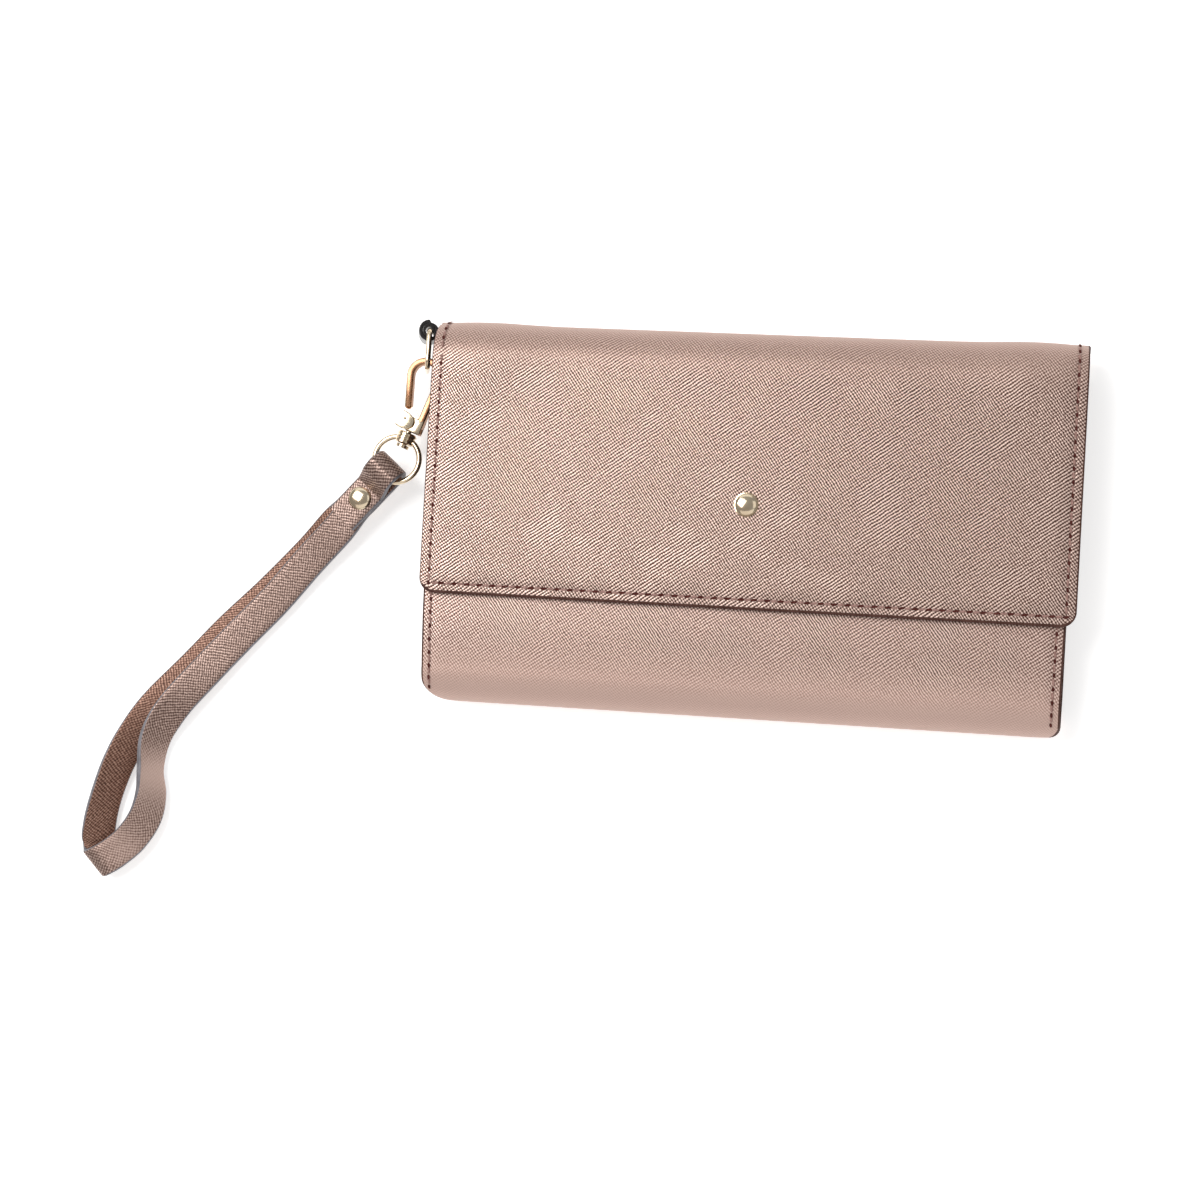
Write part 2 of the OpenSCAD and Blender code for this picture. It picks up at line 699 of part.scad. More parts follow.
outer_leather();
back_board();
front_board();
bottom_foam();
body_lining();
gusset_left();
gusset_right();
card_slot(1);  // card_slot_1
card_slot(2);  // card_slot_2
card_slot(3);  // card_slot_3
front_keeper();
side_stitching();
ring_tab();
spine_leather();
spine_lining();
flap_leather();
flap_board();
flap_lining();
flap_magnet();
flap_stud();
stud_washer();
flap_stitching();
d_ring();
hook_frame();
hook_post();
gate_pin();
gate_spring();
gate_lever();
swivel_ring();
wrist_strap();
strap_rivet_cap();
strap_rivet_post();
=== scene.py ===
import json
import math

import bpy
import numpy as np
from mathutils import Matrix, Vector


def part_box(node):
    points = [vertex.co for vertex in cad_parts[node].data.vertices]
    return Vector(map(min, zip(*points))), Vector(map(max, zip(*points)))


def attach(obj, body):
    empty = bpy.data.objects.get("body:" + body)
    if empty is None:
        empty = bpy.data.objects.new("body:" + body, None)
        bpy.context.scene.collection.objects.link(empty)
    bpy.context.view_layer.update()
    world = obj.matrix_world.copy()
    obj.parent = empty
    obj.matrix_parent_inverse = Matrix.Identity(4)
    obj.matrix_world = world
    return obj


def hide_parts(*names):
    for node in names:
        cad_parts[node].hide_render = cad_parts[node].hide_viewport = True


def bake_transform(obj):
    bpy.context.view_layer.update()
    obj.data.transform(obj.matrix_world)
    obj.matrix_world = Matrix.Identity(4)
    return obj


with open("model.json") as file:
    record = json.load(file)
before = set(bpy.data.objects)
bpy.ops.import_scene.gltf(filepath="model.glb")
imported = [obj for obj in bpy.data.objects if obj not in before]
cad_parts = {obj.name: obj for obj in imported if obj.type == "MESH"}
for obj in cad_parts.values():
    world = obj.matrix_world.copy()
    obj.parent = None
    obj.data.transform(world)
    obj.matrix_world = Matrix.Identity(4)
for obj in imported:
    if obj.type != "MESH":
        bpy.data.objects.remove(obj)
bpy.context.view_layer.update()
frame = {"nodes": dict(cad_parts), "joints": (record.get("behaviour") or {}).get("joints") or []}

joints = {j["name"]: j for j in frame["joints"]}
bpy.ops.object.select_all(action="DESELECT")

# The camera looks down on the wallet from a little right of its middle, as over a table.
camera_data = bpy.data.cameras.new("camera")
camera_data.lens = 72.0  # mm
camera_data.sensor_width = 36.0
camera_data.clip_start = 0.01
camera = bpy.data.objects.new("camera", camera_data)
bpy.context.scene.collection.objects.link(camera)
look = Vector((-0.1692, 0.0514, -0.9842)).normalized()
right = look.cross(Vector((-0.0546, 0.9966, 0.0614))).normalized()
above = right.cross(look)
turn = Matrix((right, above, -look)).transposed()
camera.matrix_world = Matrix.Translation((0.0681, -0.0536, 0.6264)) @ turn.to_4x4()
bpy.context.scene.camera = camera

# The floor is a sheet of matt white board that the wallet lies on.
bpy.ops.mesh.primitive_plane_add(size=9.0, location=(0, 0, 0))
floor = bpy.context.active_object
floor.name = "floor_board"
floor_gap = 0.0001
floor.data.transform(Matrix.Translation((0, 0, -floor_gap)))
board = bpy.data.materials.new("white_board")
board.use_nodes = True
board_shader = board.node_tree.nodes["Principled BSDF"]
board_shader.inputs["Base Color"].default_value = (0.93, 0.93, 0.93, 1)
board_shader.inputs["Roughness"].default_value = 0.9
board_shader.inputs["Specular IOR Level"].default_value = 0.1
board_shader.inputs["Emission Color"].default_value = (1, 1, 1, 1)
board_shader.inputs["Emission Strength"].default_value = 0.5
floor.data.materials.append(board)

# A studio with a pale room. The main softbox is above to the left, and weak ones fill in from
# the right, the back and the front. Each row is name, place, aim, width, depth, watts, colour.
room = bpy.data.worlds.new("studio_room")
room.use_nodes = True
room.node_tree.nodes["Background"].inputs["Color"].default_value = (1.0, 0.99, 0.98, 1)
room.node_tree.nodes["Background"].inputs["Strength"].default_value = 0.34
bpy.context.scene.world = room
bpy.context.scene.view_settings.view_transform = "Standard"
for name, place, aim, width, depth, power, colour in (
        ("softbox_left", (-0.60, 0.30, 1.20), (-0.06, 0.0, 0.0), 0.6, 0.7, 10.5,
         (1.0, 0.985, 0.97)),
        ("softbox_right", (1.0, 0.2, 1.2), (0.0, 0.0, 0.0), 0.9, 0.9, 1.6, (1.0, 0.99, 0.98)),
        ("softbox_back", (-0.2, 1.1, 0.7), (0.0, 0.0, 0.0), 1.6, 0.8, 2.8, (1.0, 0.99, 0.98)),
        ("softbox_front", (0.1, -0.85, 0.85), (0.0, 0.0, 0.0), 1.8, 1.1, 4.0, (1.0, 0.99, 0.98))):
    light_data = bpy.data.lights.new(name, "AREA")
    light_data.shape = "RECTANGLE"
    light_data.size = width
    light_data.size_y = depth
    light_data.energy = power
    light_data.color = colour
    light = bpy.data.objects.new(name, light_data)
    light.location = place
    light.rotation_euler = (Vector(aim) - Vector(place)).to_track_quat("-Z", "Y").to_euler()
    bpy.context.scene.collection.objects.link(light)

# ---- Wallet body ----
# One piece of metallic crosshatch-embossed leather goes over stiff board from the front
# panel's open edge down the front, round the bottom fold, up the back and round the top fold.
# Its cut edges are painted dark brown, and its inside is lined with brown twill.
wallet_lo, wallet_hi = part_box("outer_leather")
flap_lo, flap_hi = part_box("flap_leather")
spine_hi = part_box("spine_leather")[1]
half_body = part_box("back_board")[1].x
half_flap = flap_hi.x
thick = flap_hi.z
fold_y = spine_hi.y - thick / 2
front_z = wallet_hi.z
bottom_r = front_z / 2
bottom_y = wallet_lo.y + bottom_r
front_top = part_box("front_board")[1].y
wall_thick = 0.0021  # leather, board and lining together
stitch_in = 0.0026  # from the cut edge to the seam
groove_w = 0.0009  # half the width of the groove a seam pulls into the leather


def new_material(name):
    material = bpy.data.materials.new(name)
    material.use_nodes = True
    tree = material.node_tree
    return material, tree, tree.nodes["Principled BSDF"]


def add(tree, kind, links=(), **values):
    """Adds a node. in_Name=value sets an input and in_1=value sets one by its number, and
    each link is (the output it comes from, the input it goes to)."""
    node = tree.nodes.new(kind)
    for key, value in values.items():
        if key.startswith("in_"):
            socket = key[3:].replace("_", " ")
            node.inputs[int(socket) if socket.isdigit() else socket].default_value = value
        else:
            setattr(node, key, value)
    for source, target in links:
        tree.links.new(source, node.inputs[target])
    return node


def emboss(tree, shader, height, strength, distance):
    relief = add(tree, "ShaderNodeBump", [(height, "Height")], in_Strength=strength,
                 in_Distance=distance)
    tree.links.new(relief.outputs["Normal"], shader.inputs["Normal"])


def ramp(tree, source, stops):
    node = add(tree, "ShaderNodeValToRGB", [(source, "Fac")])
    while len(node.color_ramp.elements) < len(stops):
        node.color_ramp.elements.new(0.5)
    for element, (place, colour) in zip(node.color_ramp.elements, stops):
        element.position = place
        element.color = colour if len(colour) == 4 else (*colour, 1)
    return node


def embossed_leather(name, dark, mid, bright, metallic=0.4, rough=0.42, depth=0.00007,
                     wear=0.3, across=0.36, rubbed_sheen=0.58, speckle=0.36):
    """Crosshatch-embossed leather: two sets of ridges at an angle run over a UV map in millimetres.
    across is the second set's share, speckle the share of fine grain, rubbed_sheen the even level
    that smoothed leather is set to (its relief goes, as wear, and its colour is a painted sheen
    brighter than the grain's middle), and wear how far the colour is clouded."""
    material, tree, shader = new_material(name)
    sheet = add(tree, "ShaderNodeUVMap", uv_map="grain").outputs["UV"]
    wear_and_sheen = add(tree, "ShaderNodeAttribute", attribute_name="wear_and_sheen").outputs["Fac"]
    drift = add(tree, "ShaderNodeTexNoise", [(sheet, "Vector")], in_Scale=0.07, in_Detail=3.0)
    fine = add(tree, "ShaderNodeTexNoise", [(sheet, "Vector")], in_Scale=1.5, in_Detail=3.0,
               in_Roughness=0.7)
    waves = []
    per_unit = 0.31416  # a band texture of scale 1 repeats every 0.31416 units
    for angle, period, bent in ((-36.0, 0.76, 3.0), (53.0, 0.64, 4.0)):
        turned = add(tree, "ShaderNodeMapping", [(sheet, "Vector")], vector_type="POINT")
        turned.inputs["Rotation"].default_value = (0, 0, math.radians(90 - angle))
        wave = add(tree, "ShaderNodeTexWave", [(turned.outputs["Vector"], "Vector")],
                   wave_type="BANDS", bands_direction="X", wave_profile="SIN",
                   in_Scale=per_unit / period, in_Distortion=bent, in_Detail=3.0)
        wave.inputs["Detail Scale"].default_value = 0.9
        wave.inputs["Detail Roughness"].default_value = 0.6
        waves.append(wave.outputs["Fac"])
    share = add(tree, "ShaderNodeMapRange", [(drift.outputs["Fac"], "Value")],
                in_From_Min=0.38, in_From_Max=0.62, in_To_Min=across - 0.2,
                in_To_Max=across + 0.2)
    lines = add(tree, "ShaderNodeMix", [(share.outputs["Result"], "Factor"), (waves[0], "A"),
                                        (waves[1], "B")], data_type="FLOAT")
    grain = add(tree, "ShaderNodeMix", [(lines.outputs["Result"], "A"),
                                        (fine.outputs["Fac"], "B")],
                data_type="FLOAT", in_Factor=speckle)
    # Where the smoothing attribute is set, the grain is flattened to one even level: wear in the
    # relief, and a painted sheen in the colour, brighter than the grain's middle.
    flattened = add(tree, "ShaderNodeMix", [(wear_and_sheen, "Factor"), (grain.outputs["Result"], "A")],
                    data_type="FLOAT")
    flattened.inputs["B"].default_value = rubbed_sheen
    level = flattened.outputs["Result"]
    paint = ramp(tree, level, ((0.33, dark), (0.50, mid), (0.69, bright)))
    cloud = ramp(tree, drift.outputs["Fac"], ((0.3, (0.90, 0.89, 0.88)), (0.7, (1.0, 1.0, 1.0))))
    colour = add(tree, "ShaderNodeMix", [(paint.outputs["Color"], "A"),
                                         (cloud.outputs["Color"], "B")],
                 data_type="RGBA", blend_type="MULTIPLY", in_Factor=wear)
    tree.links.new(colour.outputs["Result"], shader.inputs["Base Color"])
    gloss = add(tree, "ShaderNodeMapRange", [(level, "Value")], in_From_Min=0.2,
                in_From_Max=0.8, in_To_Min=rough + 0.12, in_To_Max=rough - 0.06)
    dulled = add(tree, "ShaderNodeMath", [(wear_and_sheen, 0), (gloss.outputs["Result"], 2)],
                 operation="MULTIPLY_ADD", in_1=0.25)
    tree.links.new(dulled.outputs["Value"], shader.inputs["Roughness"])
    shader.inputs["Metallic"].default_value = metallic
    emboss(tree, shader, level, 0.8, depth)
    return material


def edge_paint(name, colour, rough=0.4):
    material, tree, shader = new_material(name)
    place = add(tree, "ShaderNodeTexCoord").outputs["Object"]
    lumps = add(tree, "ShaderNodeTexNoise", [(place, "Vector")], in_Scale=420.0, in_Detail=3.0)
    lighter = tuple(min(1.0, c * 1.7 + 0.01) for c in colour)
    tone = ramp(tree, lumps.outputs["Fac"], ((0.3, colour), (0.75, lighter)))
    tree.links.new(tone.outputs["Color"], shader.inputs["Base Color"])
    shader.inputs["Roughness"].default_value = rough
    emboss(tree, shader, lumps.outputs["Fac"], 0.5, 0.00012)
    return material


def twill(name, dark, light, pitch=0.0007):
    material, tree, shader = new_material(name)
    place = add(tree, "ShaderNodeTexCoord").outputs["Object"]
    diagonal = add(tree, "ShaderNodeMapping", [(place, "Vector")])
    diagonal.inputs["Rotation"].default_value = (0, 0, math.radians(45))
    ribs = add(tree, "ShaderNodeTexWave", [(diagonal.outputs["Vector"], "Vector")],
               in_Scale=0.31416 / pitch, in_Distortion=0.6, in_Detail=1.0)
    yarn = add(tree, "ShaderNodeTexNoise", [(place, "Vector")], in_Scale=1500.0, in_Detail=2.0)
    mixed = add(tree, "ShaderNodeMix", [(ribs.outputs["Fac"], "A"), (yarn.outputs["Fac"], "B")],
                data_type="FLOAT", in_Factor=0.35)
    tone = ramp(tree, mixed.outputs["Result"], ((0.2, dark), (0.8, light)))
    tree.links.new(tone.outputs["Color"], shader.inputs["Base Color"])
    shader.inputs["Roughness"].default_value = 0.75
    shader.inputs["Sheen Weight"].default_value = 0.25
    emboss(tree, shader, mixed.outputs["Result"], 0.6, 0.00012)
    return material


rose_leather = embossed_leather("rose_leather", (0.065, 0.030, 0.022), (0.29, 0.178, 0.144),
                                (0.87, 0.67, 0.59), 0.6, 0.36, 0.00013, across=0.47)
panel_leather = embossed_leather("panel_leather", (0.12, 0.062, 0.049), (0.40, 0.252, 0.208),
                                 (0.88, 0.68, 0.605), 0.5, 0.40, 0.00010, across=0.60)
brown_paint = edge_paint("brown_edge_paint", (0.055, 0.022, 0.016), 0.6)
brown_paint.node_tree.nodes["Principled BSDF"].inputs["Specular IOR Level"].default_value = 0.15
brown_twill = twill("brown_twill", (0.05, 0.032, 0.028), (0.17, 0.115, 0.10))


def arc_points(centre, radius, start, end, count):
    return [(centre[0] + radius * math.cos(a), centre[1] + radius * math.sin(a))
            for a in np.linspace(math.radians(start), math.radians(end), count)]


def line_points(a, b, count):
    return [tuple(p) for p in np.linspace(a, b, count)]


def join_runs(*runs):
    path = list(runs[0])
    for run in runs[1:]:
        path += run[1:]
    return path


def crowded(count, reach):
    """Places from -1 to 1, closer together near both ends, where the leather curves."""
    t = np.linspace(-1, 1, count)
    return (1 - reach) * t + reach * np.sin(t * math.pi / 2)


def new_grid(name, columns, rows):
    bpy.ops.object.select_all(action="DESELECT")
    bpy.ops.mesh.primitive_grid_add(x_subdivisions=columns, y_subdivisions=rows, size=2)
    grid = bpy.context.active_object
    grid.name = grid.data.name = name
    return grid


def lay_sheet(name, profile, spread, half_width, shape):
    """A grid laid round a side profile of (y, z) points. shape gives each point's place and
    how far it is lifted off the profile."""
    sheet = new_grid(name, len(spread) - 1, len(profile) - 1)
    mesh = sheet.data
    columns, rows = len(spread), len(profile)
    path = np.array(profile)
    runs = np.concatenate([[0], np.cumsum(np.linalg.norm(np.diff(path, axis=0), axis=1))])
    tangent = np.gradient(path, axis=0)
    tangent /= np.linalg.norm(tangent, axis=1)[:, None]
    outward = np.stack([tangent[:, 1], -tangent[:, 0]], axis=1)
    flat = []
    for vertex in mesh.vertices:
        i = int(round((vertex.co.x + 1) / 2 * (columns - 1)))
        j = int(round((vertex.co.y + 1) / 2 * (rows - 1)))
        x = spread[i] * half_width(j)
        y, z = path[j]
        x, y, z, lift = shape(x, y, z)
        vertex.co = (x, y + outward[j][0] * lift, z + outward[j][1] * lift)
        flat.append((x * 1000, runs[j] * 1000))
    for layer in list(mesh.uv_layers):
        mesh.uv_layers.remove(layer)
    grain = mesh.uv_layers.new(name="grain")
    for loop in mesh.loops:
        grain.data[loop.index].uv = flat[loop.vertex_index]
    return sheet


def pick(*pieces):
    """Selects these pieces alone and makes the last one active."""
    bpy.ops.object.select_all(action="DESELECT")
    for piece in pieces:
        piece.select_set(True)
    bpy.context.view_layer.objects.active = pieces[-1]


def apply_modifiers(piece):
    pick(piece)
    for modifier in list(piece.modifiers):
        bpy.ops.object.modifier_apply(modifier=modifier.name)


def smooth(piece, angle):
    pick(piece)
    bpy.ops.object.shade_smooth_by_angle(angle=math.radians(angle))


def round_rim(piece, width, segments):
    rim = piece.modifiers.new("rim", "BEVEL")
    rim.width = width
    rim.segments = segments
    rim.limit_method = "ANGLE"
    return rim


def wall(piece, depth, offset=-1):
    solid = piece.modifiers.new("wall", "SOLIDIFY")
    solid.thickness = depth
    solid.offset = offset
    return solid


def turn_over(piece):
    pick(piece)
    bpy.ops.object.mode_set(mode="EDIT")
    bpy.ops.mesh.select_all(action="SELECT")
    bpy.ops.mesh.flip_normals()
    bpy.ops.object.mode_set(mode="OBJECT")


def face_outward(piece):
    pick(piece)
    bpy.ops.object.mode_set(mode="EDIT")
    bpy.ops.mesh.select_all(action="SELECT")
    bpy.ops.mesh.normals_make_consistent(inside=False)
    bpy.ops.object.mode_set(mode="OBJECT")


def thicken(piece, depth, materials):
    """Gives a sheet its inner wall and its painted rim, then rounds the rim a little."""
    for material in materials:
        piece.data.materials.append(material)
    solid = wall(piece, depth)
    solid.material_offset = 2
    solid.material_offset_rim = 1
    rim = round_rim(piece, 0.00055, 3)
    rim.material = 1
    rim.angle_limit = math.radians(60)
    apply_modifiers(piece)
    smooth(piece, 50)


def edge_fall(distance, reach, drop):
    """How far the padded surface has sunk at a distance from its edge."""
    t = min(1.0, max(0.0, distance / reach))
    return -drop * (1 - t) ** 2


body_profile = join_runs(
    line_points((front_top, front_z), (bottom_y, front_z), 46),
    arc_points((bottom_y, bottom_r), bottom_r, 90, 270, 29),
    line_points((bottom_y, 0.0), (fold_y, 0.0), 46),
    arc_points((fold_y, thick / 2), thick / 2, -90, 0, 19))
flare_from = fold_y - 0.01
half_front = half_flap + 0.0002


def body_half(j):
    y, z = body_profile[j]
    if y < bottom_y:
        return half_body + (half_front - half_body) * z / front_z
    if z > bottom_r:
        return half_front
    share = min(1.0, max(0.0, (y - flare_from) / (fold_y - flare_from)))
    return half_body + (half_flap - half_body) * share


def fold_lift(x):
    """The top fold stands a little fuller near both ends than in the middle."""
    return 0.0005 * math.exp(-((abs(x) - 0.070) / 0.011) ** 2) - 0.0002


def flap_side(x, y):
    """The leather is a little wider at its left side, and more so toward the top fold."""
    rise = min(1.0, max(0.0, (y - flap_lo.y) / (fold_y - flap_lo.y)))
    return x * (1 + (0.0003 + 0.0006 * rise) / half_flap) if x < 0 else x


def body_lift(x, y, z):
    side = half_front - abs(x)
    if z > bottom_r and y < front_top + 0.001:
        groove = max(0.0, 1 - abs(side - stitch_in) / groove_w)
        groove *= min(1.0, max(0.0, (y - bottom_y) / 0.002 + 1))
        low = 0.001 * (1 - z / bottom_r)
        if y > bottom_y:
            low = edge_fall(y - bottom_y, 0.016, 0.001)
        return (edge_fall(side, 0.006, 0.00028) + edge_fall(front_top - y, 0.004, 0.0002)
                + low - 0.00014 * groove)
    if y < bottom_y:
        return edge_fall(side, 0.006, 0.00028)
    if y > fold_y:
        return fold_lift(x) * z / (thick / 2)
    return 0.0


def mark_wear_and_sheen(piece, rule):
    """Stores, for each point of a leather piece, how far its embossing is smoothed away and its
    colour painted to an even, brighter sheen.
    """
    layer = piece.data.attributes.new("wear_and_sheen", "FLOAT", "POINT")
    for vertex in piece.data.vertices:
        layer.data[vertex.index].value = min(0.9, max(0.0, rule(*vertex.co)))


def panel_side(x, y, z):
    """The front panel is drawn in a little toward its bottom, and more at its right side.
    The bottom fold's ends are rounded, and more so at the left."""
    low = min(1.0, max(0.0, (front_top - y) / (front_top - bottom_y)))
    drawn = 0.0017 * low - 0.0005 if x < 0 else 0.0022 + 0.0007 * low
    drawn *= min(1.0, max(0.0, z / front_z))
    corner = 0.0047 if x < 0 else 0.0026
    deep = min(corner, max(0.0, wallet_lo.y + corner - y))
    drawn += corner - math.sqrt(corner ** 2 - deep ** 2)
    return x * (1 - drawn / half_front)


def body_shape(x, y, z):
    lift = body_lift(x, y, z)
    if y < front_top + 0.001 and (z > bottom_r or y < bottom_y):
        x = panel_side(x, y, z)
    elif y > flare_from:
        x += (flap_side(x, fold_y) - x) * min(1.0, (y - flare_from) / (fold_y - flare_from))
    return x, y, z, lift


body_shell = lay_sheet("body_shell", body_profile, crowded(150, 0.55), body_half, body_shape)
turn_over(body_shell)
thicken(body_shell, wall_thick, (panel_leather, brown_paint, brown_twill))
paint_lap = 0.00058  # how far the edge paint laps onto the face of the leather
for face in body_shell.data.polygons:
    x, y, z = face.center
    if face.material_index == 0 and z > 0.004 and y < front_top + 0.001:
        half = half_body + (half_front - half_body) * z / front_z
        if abs(panel_side(math.copysign(half, x), y, z)) - abs(x) < paint_lap:
            face.material_index = 1
# From 9 mm above the bottom fold and growing onto it, the grain is smoothed and painted an even,
# brighter sheen.
mark_wear_and_sheen(body_shell, lambda x, y, z: 0.9 * (bottom_y + 0.009 - y) / 0.013)
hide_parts("outer_leather", "back_board", "front_board", "bottom_foam",
            "body_lining", "front_keeper")
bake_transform(body_shell)

# ---- Flap ----
# The same leather goes on from the top fold over the front as a stiffened flap, lined with
# twill. Its free corners are rounded and its edges are painted.
flap_edge_y = flap_lo.y
corner_r = 0.004
flap_profile = join_runs(
    arc_points((fold_y, thick / 2), thick / 2, 0, 90, 19),
    line_points((fold_y, thick), (flap_edge_y, thick), 86))


def flap_inset(x, y):
    """Distance from a place on the flap to its nearest free edge."""
    along, down = abs(x) - (half_flap - corner_r), (flap_edge_y + corner_r) - y
    if along > 0 and down > 0:
        return corner_r - math.hypot(along, down)
    return min(half_flap - abs(x), y - flap_edge_y)


def flap_lift(x, y, z):
    inset = flap_inset(x, y)
    side, low = half_flap - abs(x), y - flap_edge_y
    seam = abs(side - stitch_in) if low > stitch_in else 1.0
    if side > stitch_in:
        seam = min(seam, abs(low - stitch_in))
    lift = edge_fall(inset, 0.0075, 0.0005) - 0.00016 * max(0.0, 1 - seam / groove_w)
    if z < thick - 0.00001 or y > fold_y - 0.012:
        share = min(1.0, max(0.0, (y - fold_y + 0.012) / 0.012))
        lift += fold_lift(x) * share
    lift += 0.00010 * math.sin(x * 52 + 0.6) * math.sin((y + 0.02) * 47)
    return lift if y < fold_y + 0.0099 else fold_lift(x)


def flap_shape(x, y, z):
    along, down = abs(x) - (half_flap - corner_r), (flap_edge_y + corner_r) - y
    if along > 0 and down > 0:
        u, v = along / corner_r, down / corner_r
        reach = max(u, v) * corner_r
        angle = math.pi / 4 * v / u if u >= v else math.pi / 2 - math.pi / 4 * u / v
        x = math.copysign(half_flap - corner_r + reach * math.cos(angle), x)
        y = flap_edge_y + corner_r - reach * math.sin(angle)
    return flap_side(x, y), y, z, flap_lift(x, y, z)


flap_cover = lay_sheet("flap_cover", flap_profile, crowded(170, 0.55), lambda j: half_flap,
                       flap_shape)
turn_over(flap_cover)
thicken(flap_cover, wall_thick, (rose_leather, brown_paint, brown_twill))
for face in flap_cover.data.polygons:
    x, y, z = face.center
    if face.material_index == 0 and (x > 0 or y < flap_edge_y + 0.002):
        if flap_inset(x, y) < paint_lap - 0.00003:
            face.material_index = 1
# From 5 mm below the top fold and over it, the grain is smoothed and painted an even, brighter
# sheen.
mark_wear_and_sheen(flap_cover, lambda x, y, z: 0.8 * (y - fold_y + 0.005) / 0.012)
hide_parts("flap_leather", "flap_board", "flap_lining", "flap_magnet",
            "stud_washer", "spine_leather", "spine_lining")
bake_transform(flap_cover)

# ---- Stitching ----
# A dusty rose thread is sewn down both sides and along the flap's edge, and down the front panel's
# sides. Between two stitches the thread goes down a hole in the leather, and a dark disc laid over
# it paints the hole's shade.
rose_thread, thread_tree, thread_shader = new_material("rose_thread")
thread_place = add(thread_tree, "ShaderNodeTexCoord").outputs["Object"]
twist = add(thread_tree, "ShaderNodeTexNoise", [(thread_place, "Vector")], in_Scale=2600.0,
            in_Detail=2.0)
twist_tone = ramp(thread_tree, twist.outputs["Fac"],
                  ((0.3, (0.24, 0.125, 0.105)), (0.7, (0.42, 0.25, 0.215))))
thread_tree.links.new(twist_tone.outputs["Color"], thread_shader.inputs["Base Color"])
thread_shader.inputs["Roughness"].default_value = 0.6
emboss(thread_tree, thread_shader, twist.outputs["Fac"], 0.5, 0.0001)
# The dark disc material is painted shade for the needle holes.
hole_shade_paint = edge_paint("hole_shade_paint", (0.06, 0.016, 0.013), 1.0)
hole_shade_paint.node_tree.nodes["Principled BSDF"].inputs["Specular IOR Level"].default_value = 0.1


thread_r, thread_len = 0.00034, 0.0021
hole_r, hole_len = 0.00036, 0.0013


def sew(name, places):
    """Sews a stitch and, for its hole, a small dark disc of painted shade at each place: x, y, z,
    the seam's heading, its step, and how far the leather there is tipped about X. The shade discs
    of holes along the wallet are pulled longer."""
    bpy.ops.object.select_all(action="DESELECT")
    bpy.ops.mesh.primitive_cylinder_add(vertices=8, radius=thread_r, depth=thread_len,
                                        rotation=(0, math.pi / 2, 0))
    stitch = bpy.context.active_object
    bpy.ops.object.transform_apply(location=True, rotation=True, scale=True)
    stitch.data.materials.append(rose_thread)
    stitch.data.materials.append(hole_shade_paint)
    bpy.ops.object.mode_set(mode="EDIT")
    bpy.ops.mesh.select_all(action="SELECT")
    bpy.ops.mesh.bisect(plane_co=(thread_len * 0.25, 0, 0), plane_no=(1, 0, 0))
    bpy.ops.mesh.select_all(action="SELECT")
    bpy.ops.mesh.bisect(plane_co=(-thread_len * 0.25, 0, 0), plane_no=(1, 0, 0))
    bpy.ops.object.mode_set(mode="OBJECT")
    for vertex in stitch.data.vertices:
        if abs(vertex.co.x) > thread_len * 0.45:
            vertex.co.y *= 0.45
            vertex.co.z = vertex.co.z * 0.45 - 0.0003
    bpy.ops.mesh.primitive_circle_add(vertices=10, radius=hole_r, fill_type="NGON",
                                      location=(0, 0, 0))
    hole = bpy.context.active_object
    hole.data.transform(Matrix.Diagonal((hole_len / (2 * hole_r), 1, 1, 1)))
    bpy.ops.object.mode_set(mode="EDIT")
    bpy.ops.mesh.select_all(action="SELECT")
    bpy.ops.mesh.inset(thickness=0.00008, depth=-0.00004)
    bpy.ops.object.mode_set(mode="OBJECT")
    hole.data.materials.append(hole_shade_paint)
    made = []
    for number, (x, y, z, angle, step, tip) in enumerate(places):
        spot = (Matrix.Translation((x, y, z)) @ Matrix.Rotation(tip, 4, "X")
                @ Matrix.Rotation(angle, 4, "Z"))
        lean = Matrix.Rotation(math.radians(9 if number % 2 else 6), 4, "Z")
        pull = Matrix.Diagonal((1 + 0.4 * abs(math.cos(angle)), 1, 1, 1))
        for model, shift, rise, shape in ((stitch, 0, 0.00002, Matrix()),
                                          (hole, step / 2, 0.00016, pull)):
            copied = model.data.copy()
            copied.transform(spot @ Matrix.Translation((shift, 0, rise)) @ lean @ shape)
            one = bpy.data.objects.new(name, copied)
            bpy.context.scene.collection.objects.link(one)
            made.append(one)
    bpy.data.objects.remove(stitch)
    bpy.data.objects.remove(hole)
    pick(*made[1:], made[0])
    bpy.ops.object.join()
    seam = bpy.context.active_object
    seam.name = name
    seam.data.name = name
    smooth(seam, 60)
    return seam


stitch_step = 0.0034


def seam_steps(start, end):
    """Even stitches from one end of a seam to the other, and the exact step between them."""
    length = math.dist(start, end)
    count = max(1, round(length / stitch_step))
    step = length / count
    return [(start[0] + (end[0] - start[0]) * (i + 0.5) / count,
             start[1] + (end[1] - start[1]) * (i + 0.5) / count, step)
            for i in range(count)]


seam_x, seam_y = half_flap - stitch_in, flap_edge_y + stitch_in
flap_places = []
for start, end in (((-seam_x, fold_y + 0.001), (-seam_x, seam_y)),
                   ((-seam_x, seam_y), (seam_x, seam_y)),
                   ((seam_x, seam_y), (seam_x, fold_y + 0.001))):
    heading = math.atan2(end[1] - start[1], end[0] - start[0])
    for x, y, step in seam_steps(start, end):
        flap_places.append((flap_side(x, y), y, thick + flap_lift(x, y, thick), heading, step, 0.0))
flap_seam = sew("flap_seam", flap_places)
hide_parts("flap_stitching")
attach(flap_seam, "flap")

fold_places = []
for x in (-seam_x, seam_x):
    for degree in (17, 36, 55, 74):
        tip = math.radians(degree)
        reach = thick / 2 + fold_lift(x) - 0.0001
        fold_places.append((flap_side(x, fold_y), fold_y + reach * math.sin(tip),
                            thick / 2 + reach * math.cos(tip), math.pi / 2, stitch_step, -tip))
fold_seam = sew("fold_seam", fold_places)
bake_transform(fold_seam)

